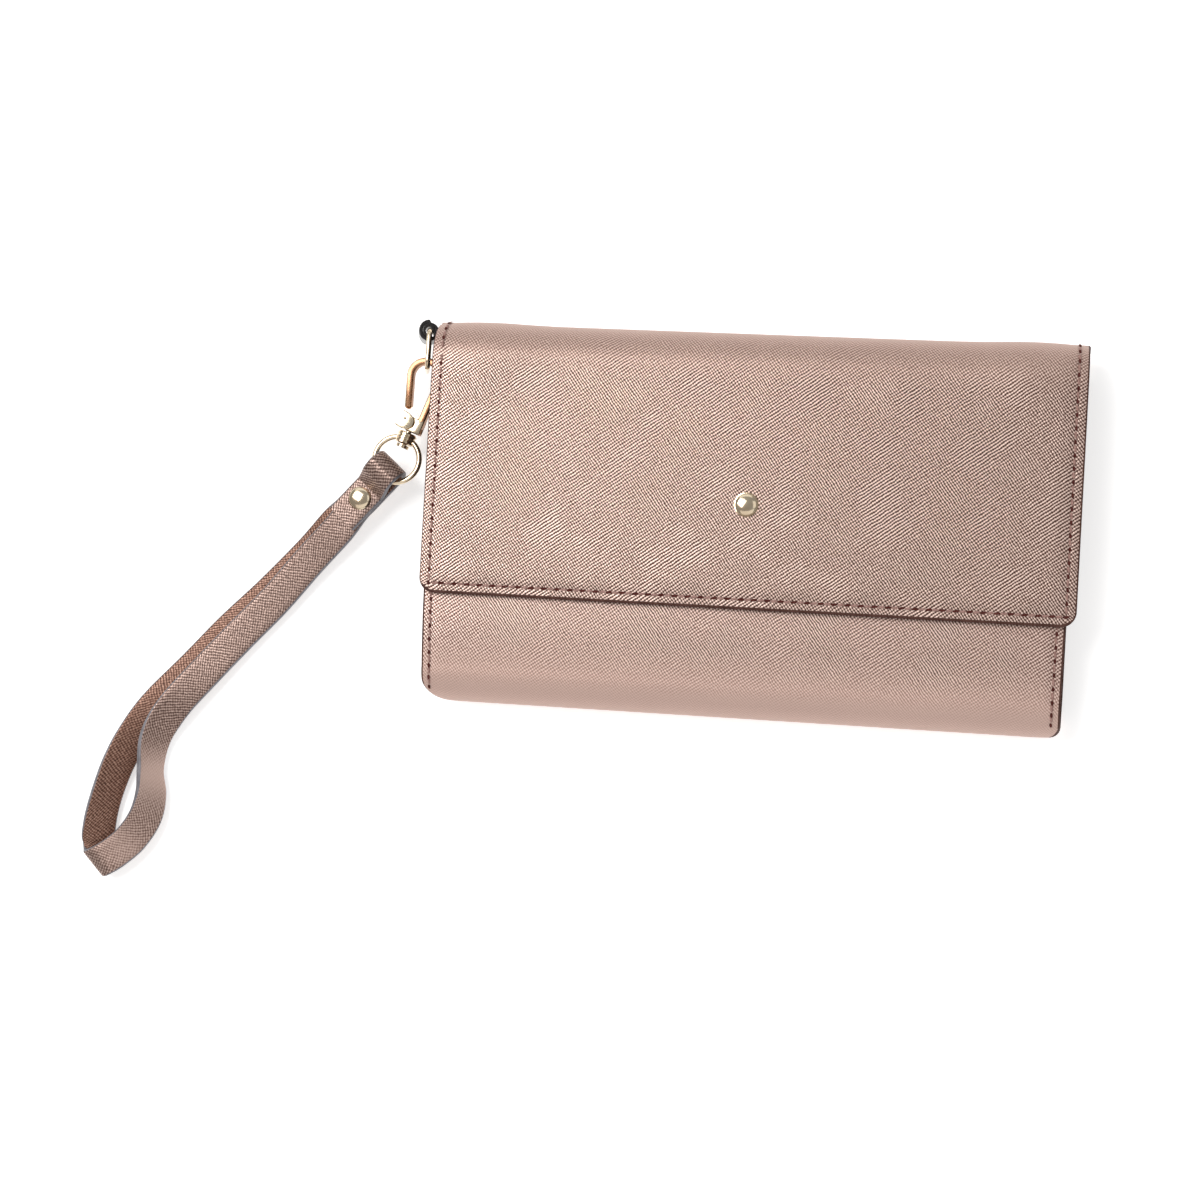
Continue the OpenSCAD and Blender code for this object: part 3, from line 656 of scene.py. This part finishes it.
panel_places = []
for side in (-1, 1):
    x = side * (half_front - stitch_in + 0.0004)
    for _, y, step in seam_steps((0, front_top - 0.001), (0, bottom_y)):
        panel_places.append((panel_side(x, y, front_z), y, front_z + body_lift(x, y, front_z),
                             -math.pi / 2, step, 0.0))
    for degree in (10, 31):
        tip = math.radians(degree)
        reach = bottom_r - 0.001 * math.cos(tip) - 0.0001
        panel_places.append((panel_side(x, bottom_y, front_z),
                             bottom_y - reach * math.sin(tip),
                             bottom_r + reach * math.cos(tip), -math.pi / 2, stitch_step,
                             tip))
panel_seam = sew("panel_seam", panel_places)
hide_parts("side_stitching")
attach(panel_seam, "wallet")

# ---- Side gussets ----
# A fold of smooth dark brown leather closes each side. It is sewn between the back panel
# and the front panel, and creases inwards halfway up.
dark_leather, dark_tree, dark_shader = new_material("dark_leather")
dark_place = add(dark_tree, "ShaderNodeTexCoord").outputs["Object"]
pebble = add(dark_tree, "ShaderNodeTexVoronoi", [(dark_place, "Vector")], in_Scale=1500.0)
patch = add(dark_tree, "ShaderNodeTexNoise", [(dark_place, "Vector")], in_Scale=90.0,
            in_Detail=3.0)
dark_tone = ramp(dark_tree, patch.outputs["Fac"],
                 ((0.3, (0.018, 0.010, 0.009)), (0.75, (0.05, 0.027, 0.021))))
dark_tree.links.new(dark_tone.outputs["Color"], dark_shader.inputs["Base Color"])
dark_shader.inputs["Roughness"].default_value = 0.42
emboss(dark_tree, dark_shader, pebble.outputs["Distance"], 0.4, 0.00006)

gusset_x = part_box("gusset_right")[1].x
gusset_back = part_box("gusset_right")[1].y
gusset_gap = 0.0022  # clear of the wall on both sides
gusset_low, gusset_high = gusset_gap, front_z - gusset_gap
gusset_reach = bottom_r - gusset_gap
for side, node in ((1, "gusset_right"), (-1, "gusset_left")):
    gusset = new_grid("side_" + node, 24, 40)
    for vertex in gusset.data.vertices:
        across, along = (vertex.co.x + 1) / 2, (vertex.co.y + 1) / 2
        z = gusset_low + (gusset_high - gusset_low) * across
        bend = 1 - abs(2 * across - 1)
        crease = 0.0027 * (bend * bend * (3 - 2 * bend)) ** 0.8
        inner_end = bottom_y - math.sqrt(max(0.0, gusset_reach ** 2 - (z - bottom_r) ** 2))
        upper_end = gusset_back + (front_top - gusset_back) * across
        y = inner_end + (upper_end - inner_end) * along
        ripple = 0.0002 * math.sin(y * 210 + side) * bend
        vertex.co = (side * (gusset_x - crease - ripple), y, z)
    gusset.data.materials.append(dark_leather)
    if side < 0:
        turn_over(gusset)
    wall(gusset, 0.0007)
    round_rim(gusset, 0.00015, 2)
    apply_modifiers(gusset)
    smooth(gusset, 45)
    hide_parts(node)
    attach(gusset, "wallet")

# ---- Card slots ----
# Three stepped sheets of lining are sewn to the back wall, each with a narrow hem of dark
# leather folded over its top edge.
for node in ("card_slot_1", "card_slot_2", "card_slot_3"):
    low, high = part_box(node)
    slot = new_grid(node + "_cloth", 36, 18)
    for vertex in slot.data.vertices:
        across, along = (vertex.co.x + 1) / 2, (vertex.co.y + 1) / 2
        belly = 0.0002 * math.sin(across * math.pi) * math.sin(along * math.pi)
        vertex.co = (low.x + (high.x - low.x) * across, low.y + (high.y - low.y) * along,
                     high.z - 0.0002 + belly)
    slot.data.materials.append(brown_twill)
    slot.data.materials.append(dark_leather)
    for face in slot.data.polygons:
        if face.center.y > high.y - 0.0035:
            face.material_index = 1
    wall(slot, 0.00045)
    round_rim(slot, 0.00012, 2)
    apply_modifiers(slot)
    smooth(slot, 45)
    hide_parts(node)
    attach(slot, "wallet")

# ---- Ring tab ----
# A strip of dark leather is wrapped round the D-ring's bar like a small roll, and its tail
# is sewn down the outside of the left gusset.
bar_centre = Vector(joints["d_ring_swing"]["pos_m"])
tab_low, tab_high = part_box("ring_tab")
tab_radius = tab_high.y - bar_centre.y
tab_width = tab_high.z - tab_low.z
tab_path = []
roll_steps, inner_reach = 56, 0.00125
for k in range(roll_steps + 1):
    turned = k / roll_steps
    angle = math.radians(-62 - 560 * turned)
    reach = inner_reach + (tab_radius - inner_reach) * turned
    tab_path.append((bar_centre.x + reach * math.cos(angle),
                     bar_centre.y + reach * math.sin(angle)))
tail_x = -gusset_x - 0.0006
leave = tab_path[-1]
tab_path += [(leave[0] + (tail_x - leave[0]) * t, leave[1] + (tab_low.y + 0.014 - leave[1]) * t
              + 0.0006 * math.sin(t * math.pi)) for t in (0.25, 0.5, 0.75, 1.0)]
tab_path += [(tail_x, tab_low.y + 0.010), (tail_x, tab_low.y + 0.005), (tail_x, tab_low.y)]
tab = new_grid("ring_tab_leather", 6, len(tab_path) - 1)
bar_axis = Vector(joints["d_ring_swing"]["axis"])
bar_tilt = math.atan(bar_axis.x / bar_axis.z)
for vertex in tab.data.vertices:
    step = int(round((vertex.co.y + 1) / 2 * (len(tab_path) - 1)))
    place = Vector((*tab_path[step], bar_centre.z + vertex.co.x * tab_width / 2))
    tilted = bar_tilt * min(1.0, max(0.0, (len(tab_path) - 4 - step) / 4))
    vertex.co = bar_centre + Matrix.Rotation(tilted, 3, "Y") @ (place - bar_centre)
black_leather = edge_paint("black_leather", (0.006, 0.005, 0.005), 0.22)
tab.data.materials.append(black_leather)
wall(tab, 0.0009, offset=0)
round_rim(tab, 0.00018, 2)
apply_modifiers(tab)
smooth(tab, 50)
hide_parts("ring_tab")
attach(tab, "wallet")

# ---- D-ring, pins and spring ----
# The D-ring is bent from round wire and the post, pin and spring are turned or wound. All the
# hardware is polished and plated pale gold, apart from the plain steel spring.


def plated(name, base, dim, rough):
    material, tree, shader = new_material(name)
    place = add(tree, "ShaderNodeTexCoord").outputs["Object"]
    cloud = add(tree, "ShaderNodeTexNoise", [(place, "Vector")], in_Scale=240.0, in_Detail=3.0)
    scratch = add(tree, "ShaderNodeTexNoise", [(place, "Vector")], in_Scale=2200.0,
                  in_Detail=4.0, in_Roughness=0.7)
    tone = ramp(tree, cloud.outputs["Fac"], ((0.3, dim), (0.65, base)))
    tree.links.new(tone.outputs["Color"], shader.inputs["Base Color"])
    wear = add(tree, "ShaderNodeMapRange", [(scratch.outputs["Fac"], "Value")],
               in_From_Min=0.3, in_From_Max=0.7, in_To_Min=rough * 0.8, in_To_Max=rough * 1.3)
    tree.links.new(wear.outputs["Result"], shader.inputs["Roughness"])
    shader.inputs["Metallic"].default_value = 1.0
    emboss(tree, shader, scratch.outputs["Fac"], 0.05, 0.00001)
    return material


pale_gold = plated("pale_gold", (0.80, 0.68, 0.50), (0.68, 0.53, 0.37), 0.14)
# A darker copper-brown copy of the gold, used on the hook's flanks as painted shade and painted
# reflection of the dark things round it.
shaded_gold = plated("shaded_gold", (0.50, 0.27, 0.15), (0.36, 0.18, 0.10), 0.26)
plain_steel = plated("plain_steel", (0.55, 0.53, 0.50), (0.42, 0.40, 0.38), 0.28)
for node, finish in (("d_ring", pale_gold), ("hook_post", pale_gold), ("gate_pin", pale_gold),
                     ("gate_spring", plain_steel), ("gate_lever", pale_gold)):
    for slot in frame["nodes"][node].material_slots:
        slot.material = finish

# ---- Snap hook ----
# The hook is cast in one piece: a base with two cheeks for the gate, a back arm, a round bow
# and a blunt nose. Its edges are rounded off before it is polished and plated.
spin_pos = Vector(joints["swivel_spin"]["pos_m"])
hook_dir = Vector(joints["swivel_spin"]["axis"]).normalized()
hook_side = Vector((hook_dir.y, -hook_dir.x, 0))
post_shift = 0.0006  # the post stands this far off the middle of the hook's base
hook_origin = spin_pos + hook_side * post_shift
on_hook = Matrix.Translation(hook_origin) @ Matrix(
    (hook_side, hook_dir, Vector((0, 0, 1)))).transposed().to_4x4()
arm_x, arm_len, bow_r, arm_r = 0.0017, 0.0153, 0.004, 0.00095
bow_x = arm_x - bow_r

bpy.ops.object.select_all(action="DESELECT")
bpy.ops.mesh.primitive_circle_add(vertices=24, radius=arm_r, location=(arm_x, 0.0018, 0),
                                  rotation=(math.pi / 2, 0, 0))
hook = bpy.context.active_object
hook.name = hook.data.name = "cast_hook"
bpy.ops.object.transform_apply(location=True, rotation=True, scale=True)
for vertex in hook.data.vertices:
    round_x, round_z = (vertex.co.x - arm_x) / arm_r, vertex.co.z / arm_r
    vertex.co.x = arm_x + arm_r * math.copysign(abs(round_x) ** 0.4, round_x)
    vertex.co.z = 0.00148 * math.copysign(abs(round_z) ** 0.4, round_z)
bpy.ops.object.mode_set(mode="EDIT")
bpy.ops.mesh.select_mode(type="VERT")
bpy.ops.mesh.select_all(action="SELECT")
bpy.ops.mesh.extrude_region_move(TRANSFORM_OT_translate={"value": (0, arm_len - 0.0018, 0)})
bpy.ops.mesh.spin(steps=30, angle=math.radians(-200), center=(bow_x, arm_len, 0),
                  axis=(0, 0, 1))
bpy.ops.object.mode_set(mode="OBJECT")
hook_end = [v for v in hook.data.vertices if v.select]
hook_mid = sum((v.co for v in hook_end), Vector()) / len(hook_end)
nose = Vector((-0.00335, 0.0063, 0))
bpy.ops.object.mode_set(mode="EDIT")
bpy.ops.mesh.extrude_region_move(TRANSFORM_OT_translate={"value": nose - hook_mid})
for grow, step in ((0.88, 0.0004), (0.62, 0.0003), (0.3, 0.00016)):
    along = (nose - hook_mid).normalized() * step
    bpy.ops.mesh.extrude_region_move(TRANSFORM_OT_translate={"value": along})
    bpy.ops.transform.resize(value=(grow, grow, grow))
bpy.ops.mesh.edge_face_add()
bpy.ops.object.mode_set(mode="OBJECT")
for low, high in (((-0.00145, 0.0, -0.00148), (0.00265, 0.0006, 0.00148)),
                  ((-0.00145, 0.0, 0.0008), (0.00265, 0.004, 0.00148)),
                  ((-0.00145, 0.0, -0.00148), (0.00265, 0.004, -0.0008))):
    low, high = Vector(low), Vector(high)
    bpy.ops.mesh.primitive_cube_add(size=1, location=(low + high) / 2, scale=high - low)
    cheek = bpy.context.active_object
    bpy.ops.object.transform_apply(location=True, rotation=True, scale=True)
    cheek_edge = cheek.modifiers.new("edge", "BEVEL")
    cheek_edge.width = 0.00028
    cheek_edge.segments = 3
    apply_modifiers(cheek)
    pick(cheek, hook)
    bpy.ops.object.join()
face_outward(hook)
hook.data.materials.clear()
hook.data.materials.append(pale_gold)
hook.data.materials.append(shaded_gold)
# Upward faces of the base and faces turned to the left keep the pale gold; the rest, arm tops
# included, get the darker copy: painted shade and painted reflection on the sides turned from the
# light.
for face in hook.data.polygons:
    top = face.normal.z > 0.8 and face.center.y < 0.005
    face.material_index = 0 if top or face.normal.x < -0.3 else 1
hook.data.transform(on_hook)
smooth(hook, 40)
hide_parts("hook_frame")
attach(hook, "hook")

# ---- Thumb plate ----
# A polished plate is fixed over the gate's thumb knob and lies on the outside of the hook's
# cheek. The thumb pushes on it to open the gate, and the head of its rivet shows.
plate_outline = ((-4.7, 1.0), (-4.8, 2.2), (-4.7, 3.5), (-4.3, 4.4), (-3.5, 4.75), (-2.4, 4.65),
                 (-1.3, 4.35), (-0.4, 3.9), (0.1, 3.3), (0.35, 2.4), (0.2, 1.5), (-0.4, 0.7),
                 (-1.3, 0.25), (-2.4, 0.1), (-3.5, 0.15), (-4.3, 0.45))
bpy.ops.object.select_all(action="DESELECT")
bpy.ops.mesh.primitive_circle_add(vertices=len(plate_outline), radius=1, fill_type="NGON")
plate = bpy.context.active_object
plate.name = plate.data.name = "thumb_plate"
for vertex, (x, y) in zip(plate.data.vertices, plate_outline):
    vertex.co = (x / 1000, y / 1000, 0.0019)
bpy.ops.object.mode_set(mode="EDIT")
bpy.ops.mesh.select_all(action="SELECT")
bpy.ops.mesh.normals_make_consistent(inside=False)
bpy.ops.mesh.extrude_region_move(TRANSFORM_OT_translate={"value": (0, 0, 0.0005)})
bpy.ops.mesh.select_all(action="SELECT")
bpy.ops.mesh.normals_make_consistent(inside=False)
bpy.ops.object.mode_set(mode="OBJECT")
round_rim(plate, 0.00018, 3).angle_limit = math.radians(50)
apply_modifiers(plate)
bpy.ops.mesh.primitive_uv_sphere_add(segments=24, ring_count=12, radius=0.00042,
                                     location=(-0.0024, 0.0028, 0.00235))
rivet_head = bpy.context.active_object
pick(rivet_head, plate)
bpy.ops.object.join()
plate.data.materials.clear()
plate.data.materials.append(pale_gold)
plate.data.transform(on_hook)
smooth(plate, 40)
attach(plate, "gate")

# ---- Swivel ring ----
# A round wire ring is brazed into a turned boss. The boss has three raised bands and turns
# on the hook's post, whose head keeps it on.


def turned_piece(name, outline, steps):
    """Spins an outline of (radius, height) points round the Z axis."""
    mesh = bpy.data.meshes.new(name)
    edges = [(i, i + 1) for i in range(len(outline) - 1)]
    mesh.from_pydata([(r, 0, h) for r, h in outline], edges, [])
    piece = bpy.data.objects.new(name, mesh)
    bpy.context.scene.collection.objects.link(piece)
    pick(piece)
    bpy.ops.object.mode_set(mode="EDIT")
    bpy.ops.mesh.select_all(action="SELECT")
    bpy.ops.mesh.spin(steps=steps, angle=math.tau, center=(0, 0, 0), axis=(0, 0, 1))
    bpy.ops.mesh.select_all(action="SELECT")
    bpy.ops.mesh.remove_doubles(threshold=0.000002)
    bpy.ops.object.mode_set(mode="OBJECT")
    face_outward(piece)
    return piece


boss_outline = [(0.00085, 0.0), (0.0018, 0.0), (0.0022, 0.00008), (0.00235, 0.0003),
                (0.00265, 0.0004), (0.00265, 0.0009), (0.0024, 0.00105), (0.0024, 0.0013),
                (0.00265, 0.00145), (0.00265, 0.00195), (0.0024, 0.0021), (0.0024, 0.0023),
                (0.00265, 0.00242), (0.00265, 0.0029), (0.00235, 0.0031), (0.0021, 0.0033),
                (0.00085, 0.0033), (0.00085, 0.0)]
boss = turned_piece("swivel_boss", boss_outline, 64)
boss.data.transform(Matrix.Translation((-post_shift, -0.0003, 0))
                    @ Matrix.Rotation(math.pi / 2, 4, "X"))
boss.data.transform(on_hook)
strap_pivot = Vector(joints["strap_swing"]["pos_m"])
ring_r, ring_wire = 0.0061, 0.0015
ring_centre = spin_pos - hook_dir * (0.00195 + ring_r - 0.00005)
bpy.ops.object.select_all(action="DESELECT")
bpy.ops.mesh.primitive_torus_add(major_segments=96, minor_segments=20, major_radius=ring_r,
                                 minor_radius=ring_wire / 2)
ring = bpy.context.active_object
ring.name = ring.data.name = "swivel_loop"
ring.data.transform(Matrix.Translation(ring_centre))
pick(boss, ring)
bpy.ops.object.join()
ring.data.materials.clear()
ring.data.materials.append(pale_gold)
smooth(ring, 30)
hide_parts("swivel_ring")
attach(ring, "swivel")

# ---- Wrist strap ----
# One flat strip of the same leather, folded back on itself as a loop. Its end goes round
# the swivel ring and lies on top of the two strands, and its cut edges are painted grey-blue.
strap_w, strap_t, mid_r = 0.009, 0.0018, 0.0031
chain_z, stack_z, lay = strap_pivot.z, 0.0059, 0.0019
rivet_at, flat_r, tab_end = 0.0096, 0.0032, 0.0171
strap_turn = math.radians(41)
strap_s = Vector((-math.sin(strap_turn), -math.cos(strap_turn), 0))
strap_n = Vector((math.cos(strap_turn), -math.sin(strap_turn), 0))


def along_strap(s, z, side=0.0):
    """A place on the straight part, s from the eye towards the loop, in metres."""
    place = strap_pivot + strap_s * s + strap_n * side
    return (place.x, place.y, z, -41, 0)


def off_eye(dx, dy, z, turned, lean):
    """A place on the route, dx and dy from the strap's eye and z above the floor, in mm."""
    return (strap_pivot.x + dx / 1000, strap_pivot.y + dy / 1000, z / 1000, turned, lean)


# Each row of the route is x, y, z, the heading of the strap's width and its lean, in degrees.
route = [
    along_strap(rivet_at - 0.004, stack_z), along_strap(rivet_at - flat_r, stack_z),
    along_strap(rivet_at, stack_z), along_strap(rivet_at + flat_r, stack_z),
    off_eye(-12.4, -15.4, 5.4, -42, 0), off_eye(-20.4, -24.4, 4, -41, -2),
    off_eye(-29.4, -35.4, 3.2, -40, -3), off_eye(-38.4, -45.4, 3.2, -40, -3),
    off_eye(-47.4, -55.9, 3.8, -39, -4), off_eye(-55.4, -65.9, 4.6, -30, -14),
    off_eye(-59.7, -74.4, 5, -14, -43), off_eye(-60.4, -82.9, 5.3, 0, -63),
    off_eye(-59.8, -89.4, 5.1, -10, -48), off_eye(-61, -95.9, 4.8, -24, -26),
    off_eye(-64.6, -102, 4.7, -36, -12), off_eye(-69, -106.2, 4.9, -44, -6),
    off_eye(-72.4, -108.5, 4.95, -49, -4), off_eye(-74.7, -109.1, 3.6, -46, -6),
    off_eye(-74.6, -105.6, 2.25, -19, -14), off_eye(-74.7, -101.1, 2.75, 4, -24),
    off_eye(-73.9, -95.5, 3.5, 4, -33), off_eye(-72.2, -88.7, 3.9, -1, -36),
    off_eye(-69.9, -81.5, 3.7, -12, -30), off_eye(-66.6, -74, 2.7, -27, -18),
    off_eye(-61.3, -65.5, 1.7, -38, -6), off_eye(-51.4, -54.4, 1.1, -42, 0),
    off_eye(-41.9, -43.7, 1, -42, 0), off_eye(-31.4, -33, 1, -41, 0),
    off_eye(-20.9, -21.6, 1.6, -41, 0), off_eye(-13.8, -13.4, 3.2, -41, 0),
    along_strap(rivet_at + flat_r, stack_z - lay, -0.0008),
    along_strap(rivet_at, stack_z - lay, -0.0007),
    along_strap(rivet_at - flat_r, stack_z - lay, -0.0006),
    along_strap(rivet_at - flat_r - 0.001, stack_z - lay + 0.00005, -0.0005)]
route += [along_strap(-mid_r * math.cos(math.radians(a)),
                      chain_z + mid_r * math.sin(math.radians(a))) for a in range(-70, 91, 20)]
route += [along_strap(0.0021, chain_z + mid_r * 0.76), along_strap(0.0038, stack_z + lay + 0.0017),
          along_strap(rivet_at - flat_r - 0.001, stack_z + lay + 0.00025),
          along_strap(rivet_at - flat_r, stack_z + lay), along_strap(rivet_at, stack_z + lay),
          along_strap(rivet_at + flat_r, stack_z + lay), along_strap(tab_end, stack_z + lay)]


def smooth_route(rows, steps):
    """A smooth curve through all the rows, with this many steps from each to the next."""
    rows = np.array(rows)
    out = []
    last = len(rows) - 1
    for i in range(last + 1):
        a, b, c, d = (rows[max(0, min(last, k))] for k in (i - 1, i, i + 1, i + 2))
        for k in range(steps if i < last else 1):
            t = k / steps
            out.append(0.5 * (2 * b + (c - a) * t + (2 * a - 5 * b + 4 * c - d) * t * t
                              + (3 * b - a - 3 * c + d) * t ** 3))
    return np.array(out)


half_t = strap_t / 2 * 0.97
round_r = 0.0006  # of the strap's painted edges
strap_section = []
for corner_w, corner_h, start in ((1, 1, 0), (-1, 1, 90), (-1, -1, 180), (1, -1, 270)):
    for k in range(4):
        a = math.radians(start + 30 * k)
        strap_section.append((corner_w * (strap_w / 2 - round_r) + round_r * math.cos(a),
                              corner_h * (half_t - round_r) + round_r * math.sin(a)))
    if start in (0, 180):
        strap_section += [(corner_w * 0.6 * strap_w / 2 * s, corner_h * half_t)
                          for s in (1, 0.35, -0.35, -1)]
path = smooth_route(route, 26)
centre = path[:, :3]
lengths = np.concatenate([[0], np.cumsum(np.linalg.norm(np.diff(centre, axis=0), axis=1))])
strap_points, strap_faces, strap_uv, strap_kinds = [], [], [], []
count = len(strap_section)
for i, (x, y, z, turned, lean) in enumerate(path):
    ahead = Vector(centre[min(i + 1, len(path) - 1)] - centre[max(i - 1, 0)]).normalized()
    turned, lean = math.radians(turned), math.radians(lean)
    width = Vector((math.cos(turned) * math.cos(lean), math.sin(turned) * math.cos(lean),
                    math.sin(lean)))
    rise = ahead.cross(width).normalized()
    run = lengths[i] * 1000
    for w, h in strap_section:
        crown = 0.00007 * (1 - (2 * w / strap_w) ** 2) * (1 if h > 0 else -1)
        crease = 0.00019 * math.exp(-((run - 82) / 5.5) ** 2) * (
            math.sin(run * 3.1 + w * 420) + 0.4 * math.sin(run * 4.7 - w * 700)) * (
            0.6 + w / strap_w)
        strap_points.append(Vector((x, y, z)) + width * w + rise * (h + crown + crease))
        strap_uv.append((w * 1000 + (40 if h < 0 else 0), run))
for i in range(len(path) - 1):
    for k in range(count):
        nxt = (k + 1) % count
        strap_faces.append((i * count + k, i * count + nxt, (i + 1) * count + nxt,
                            (i + 1) * count + k))
        side_a, side_b = strap_section[k], strap_section[nxt]
        edge = min(abs(side_a[0]), abs(side_b[0])) > strap_w / 2 - 0.0005
        strap_kinds.append(1 if edge else 0 if side_a[1] + side_b[1] > 0 else 2)
strap_faces.append(tuple(range(count - 1, -1, -1)))
strap_faces.append(tuple((len(path) - 1) * count + k for k in range(count)))
strap_kinds += [1, 1]
strap_mesh = bpy.data.meshes.new("strap_leather")
strap_mesh.from_pydata(strap_points, [], strap_faces)
strap = bpy.data.objects.new("strap_leather", strap_mesh)
bpy.context.scene.collection.objects.link(strap)
strap_grain = strap_mesh.uv_layers.new(name="grain")
for loop in strap_mesh.loops:
    strap_grain.data[loop.index].uv = strap_uv[loop.vertex_index]
strap_rose = embossed_leather("strap_rose", (0.06, 0.033, 0.026), (0.215, 0.135, 0.109),
                              (0.56, 0.41, 0.355), 0.5, 0.40, 0.00007, across=0.5,
                              rubbed_sheen=0.68, speckle=0.62)
strap_paint = edge_paint("strap_edge_paint", (0.13, 0.125, 0.14), 0.45)
# The inside face is a darker, redder copy of the strap leather: painted shade inside the loop and
# painted reddish light reflected between the strands.
strap_shaded_underside = embossed_leather("strap_inner_face_painted_shade", (0.055, 0.022, 0.013), (0.19, 0.09, 0.06),
                               (0.46, 0.28, 0.21), 0.5, 0.45, 0.00006, across=0.5, speckle=0.66)
strap_mesh.materials.append(strap_rose)
strap_mesh.materials.append(strap_paint)
strap_mesh.materials.append(strap_shaded_underside)
# The outside face is smoothed and painted brighter in two places: around 101 mm along, a satin
# highlight on the bend where the grain is also flattened, and around 122 mm, a painted highlight
# where the lower part of the strap faces the light.
rubbed_sheen = strap_mesh.attributes.new("wear_and_sheen", "FLOAT", "POINT")
for number, (_, run) in enumerate(strap_uv):
    outside = strap_section[number % count][1] > 0
    rubbed_sheen.data[number].value = (0.9 * math.exp(-((run - 101) / 9) ** 2)
                                 + 0.5 * math.exp(-((run - 122) / 7) ** 2)) * outside
strap_mesh.polygons.foreach_set("material_index", strap_kinds)
face_outward(strap)
smooth(strap, 50)
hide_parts("wrist_strap")
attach(strap, "strap")

# ---- Rivet and stud ----
# A tubular rivet with a domed cap holds the strap's three layers together, and a plain
# domed stud is riveted through the flap. Both are pressed from brass and plated.
for name, node, body in (("rivet_cap_dome", "strap_rivet_cap", "strap"),
                         ("rivet_back", "strap_rivet_post", "strap"),
                         ("flap_stud_dome", "flap_stud", "flap")):
    low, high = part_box(node)
    middle = (low + high) / 2
    radius = (high.x - low.x) / 2
    if node == "strap_rivet_cap":
        height, base = high.z - low.z, low.z
        outline = [(0.0, base), (radius * 0.94, base), (radius, base + 0.00012),
                   (radius, base + 0.0003), (radius * 0.965, base + 0.00042)]
        outline += [(radius * 0.95 * math.cos(a), base + 0.0004 + (height - 0.0004) * math.sin(a))
                    for a in np.linspace(0.12, math.pi / 2, 12)]
    elif node == "flap_stud":
        base = thick
        height = high.z - base
        outline = [(0.0, base - 0.0021), (0.001, base - 0.0021), (0.001, base - 0.0002),
                   (radius * 0.93, base - 0.0002), (radius, base + 0.0001),
                   (radius * 0.97, base + 0.00032)]
        outline += [(radius * 0.9 * math.cos(a), base + 0.0003 + (height - 0.0003) * math.sin(a))
                    for a in np.linspace(0.05, math.pi / 2, 12)]
    else:
        outline = [(0.0, low.z), (radius * 0.9, low.z), (radius, low.z + 0.00015),
                   (radius, low.z + 0.0006), (radius * 0.95, low.z + 0.0008),
                   (0.0012, low.z + 0.0008), (0.0012, high.z - 0.0001), (0.0, high.z - 0.0001)]
    outline[-1] = (0.0, outline[-1][1])
    rivet = turned_piece(name, outline, 56)
    rivet.data.transform(Matrix.Translation((middle.x, middle.y, 0)))
    rivet.data.materials.append(pale_gold)
    smooth(rivet, 35)
    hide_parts(node)
    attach(rivet, body)
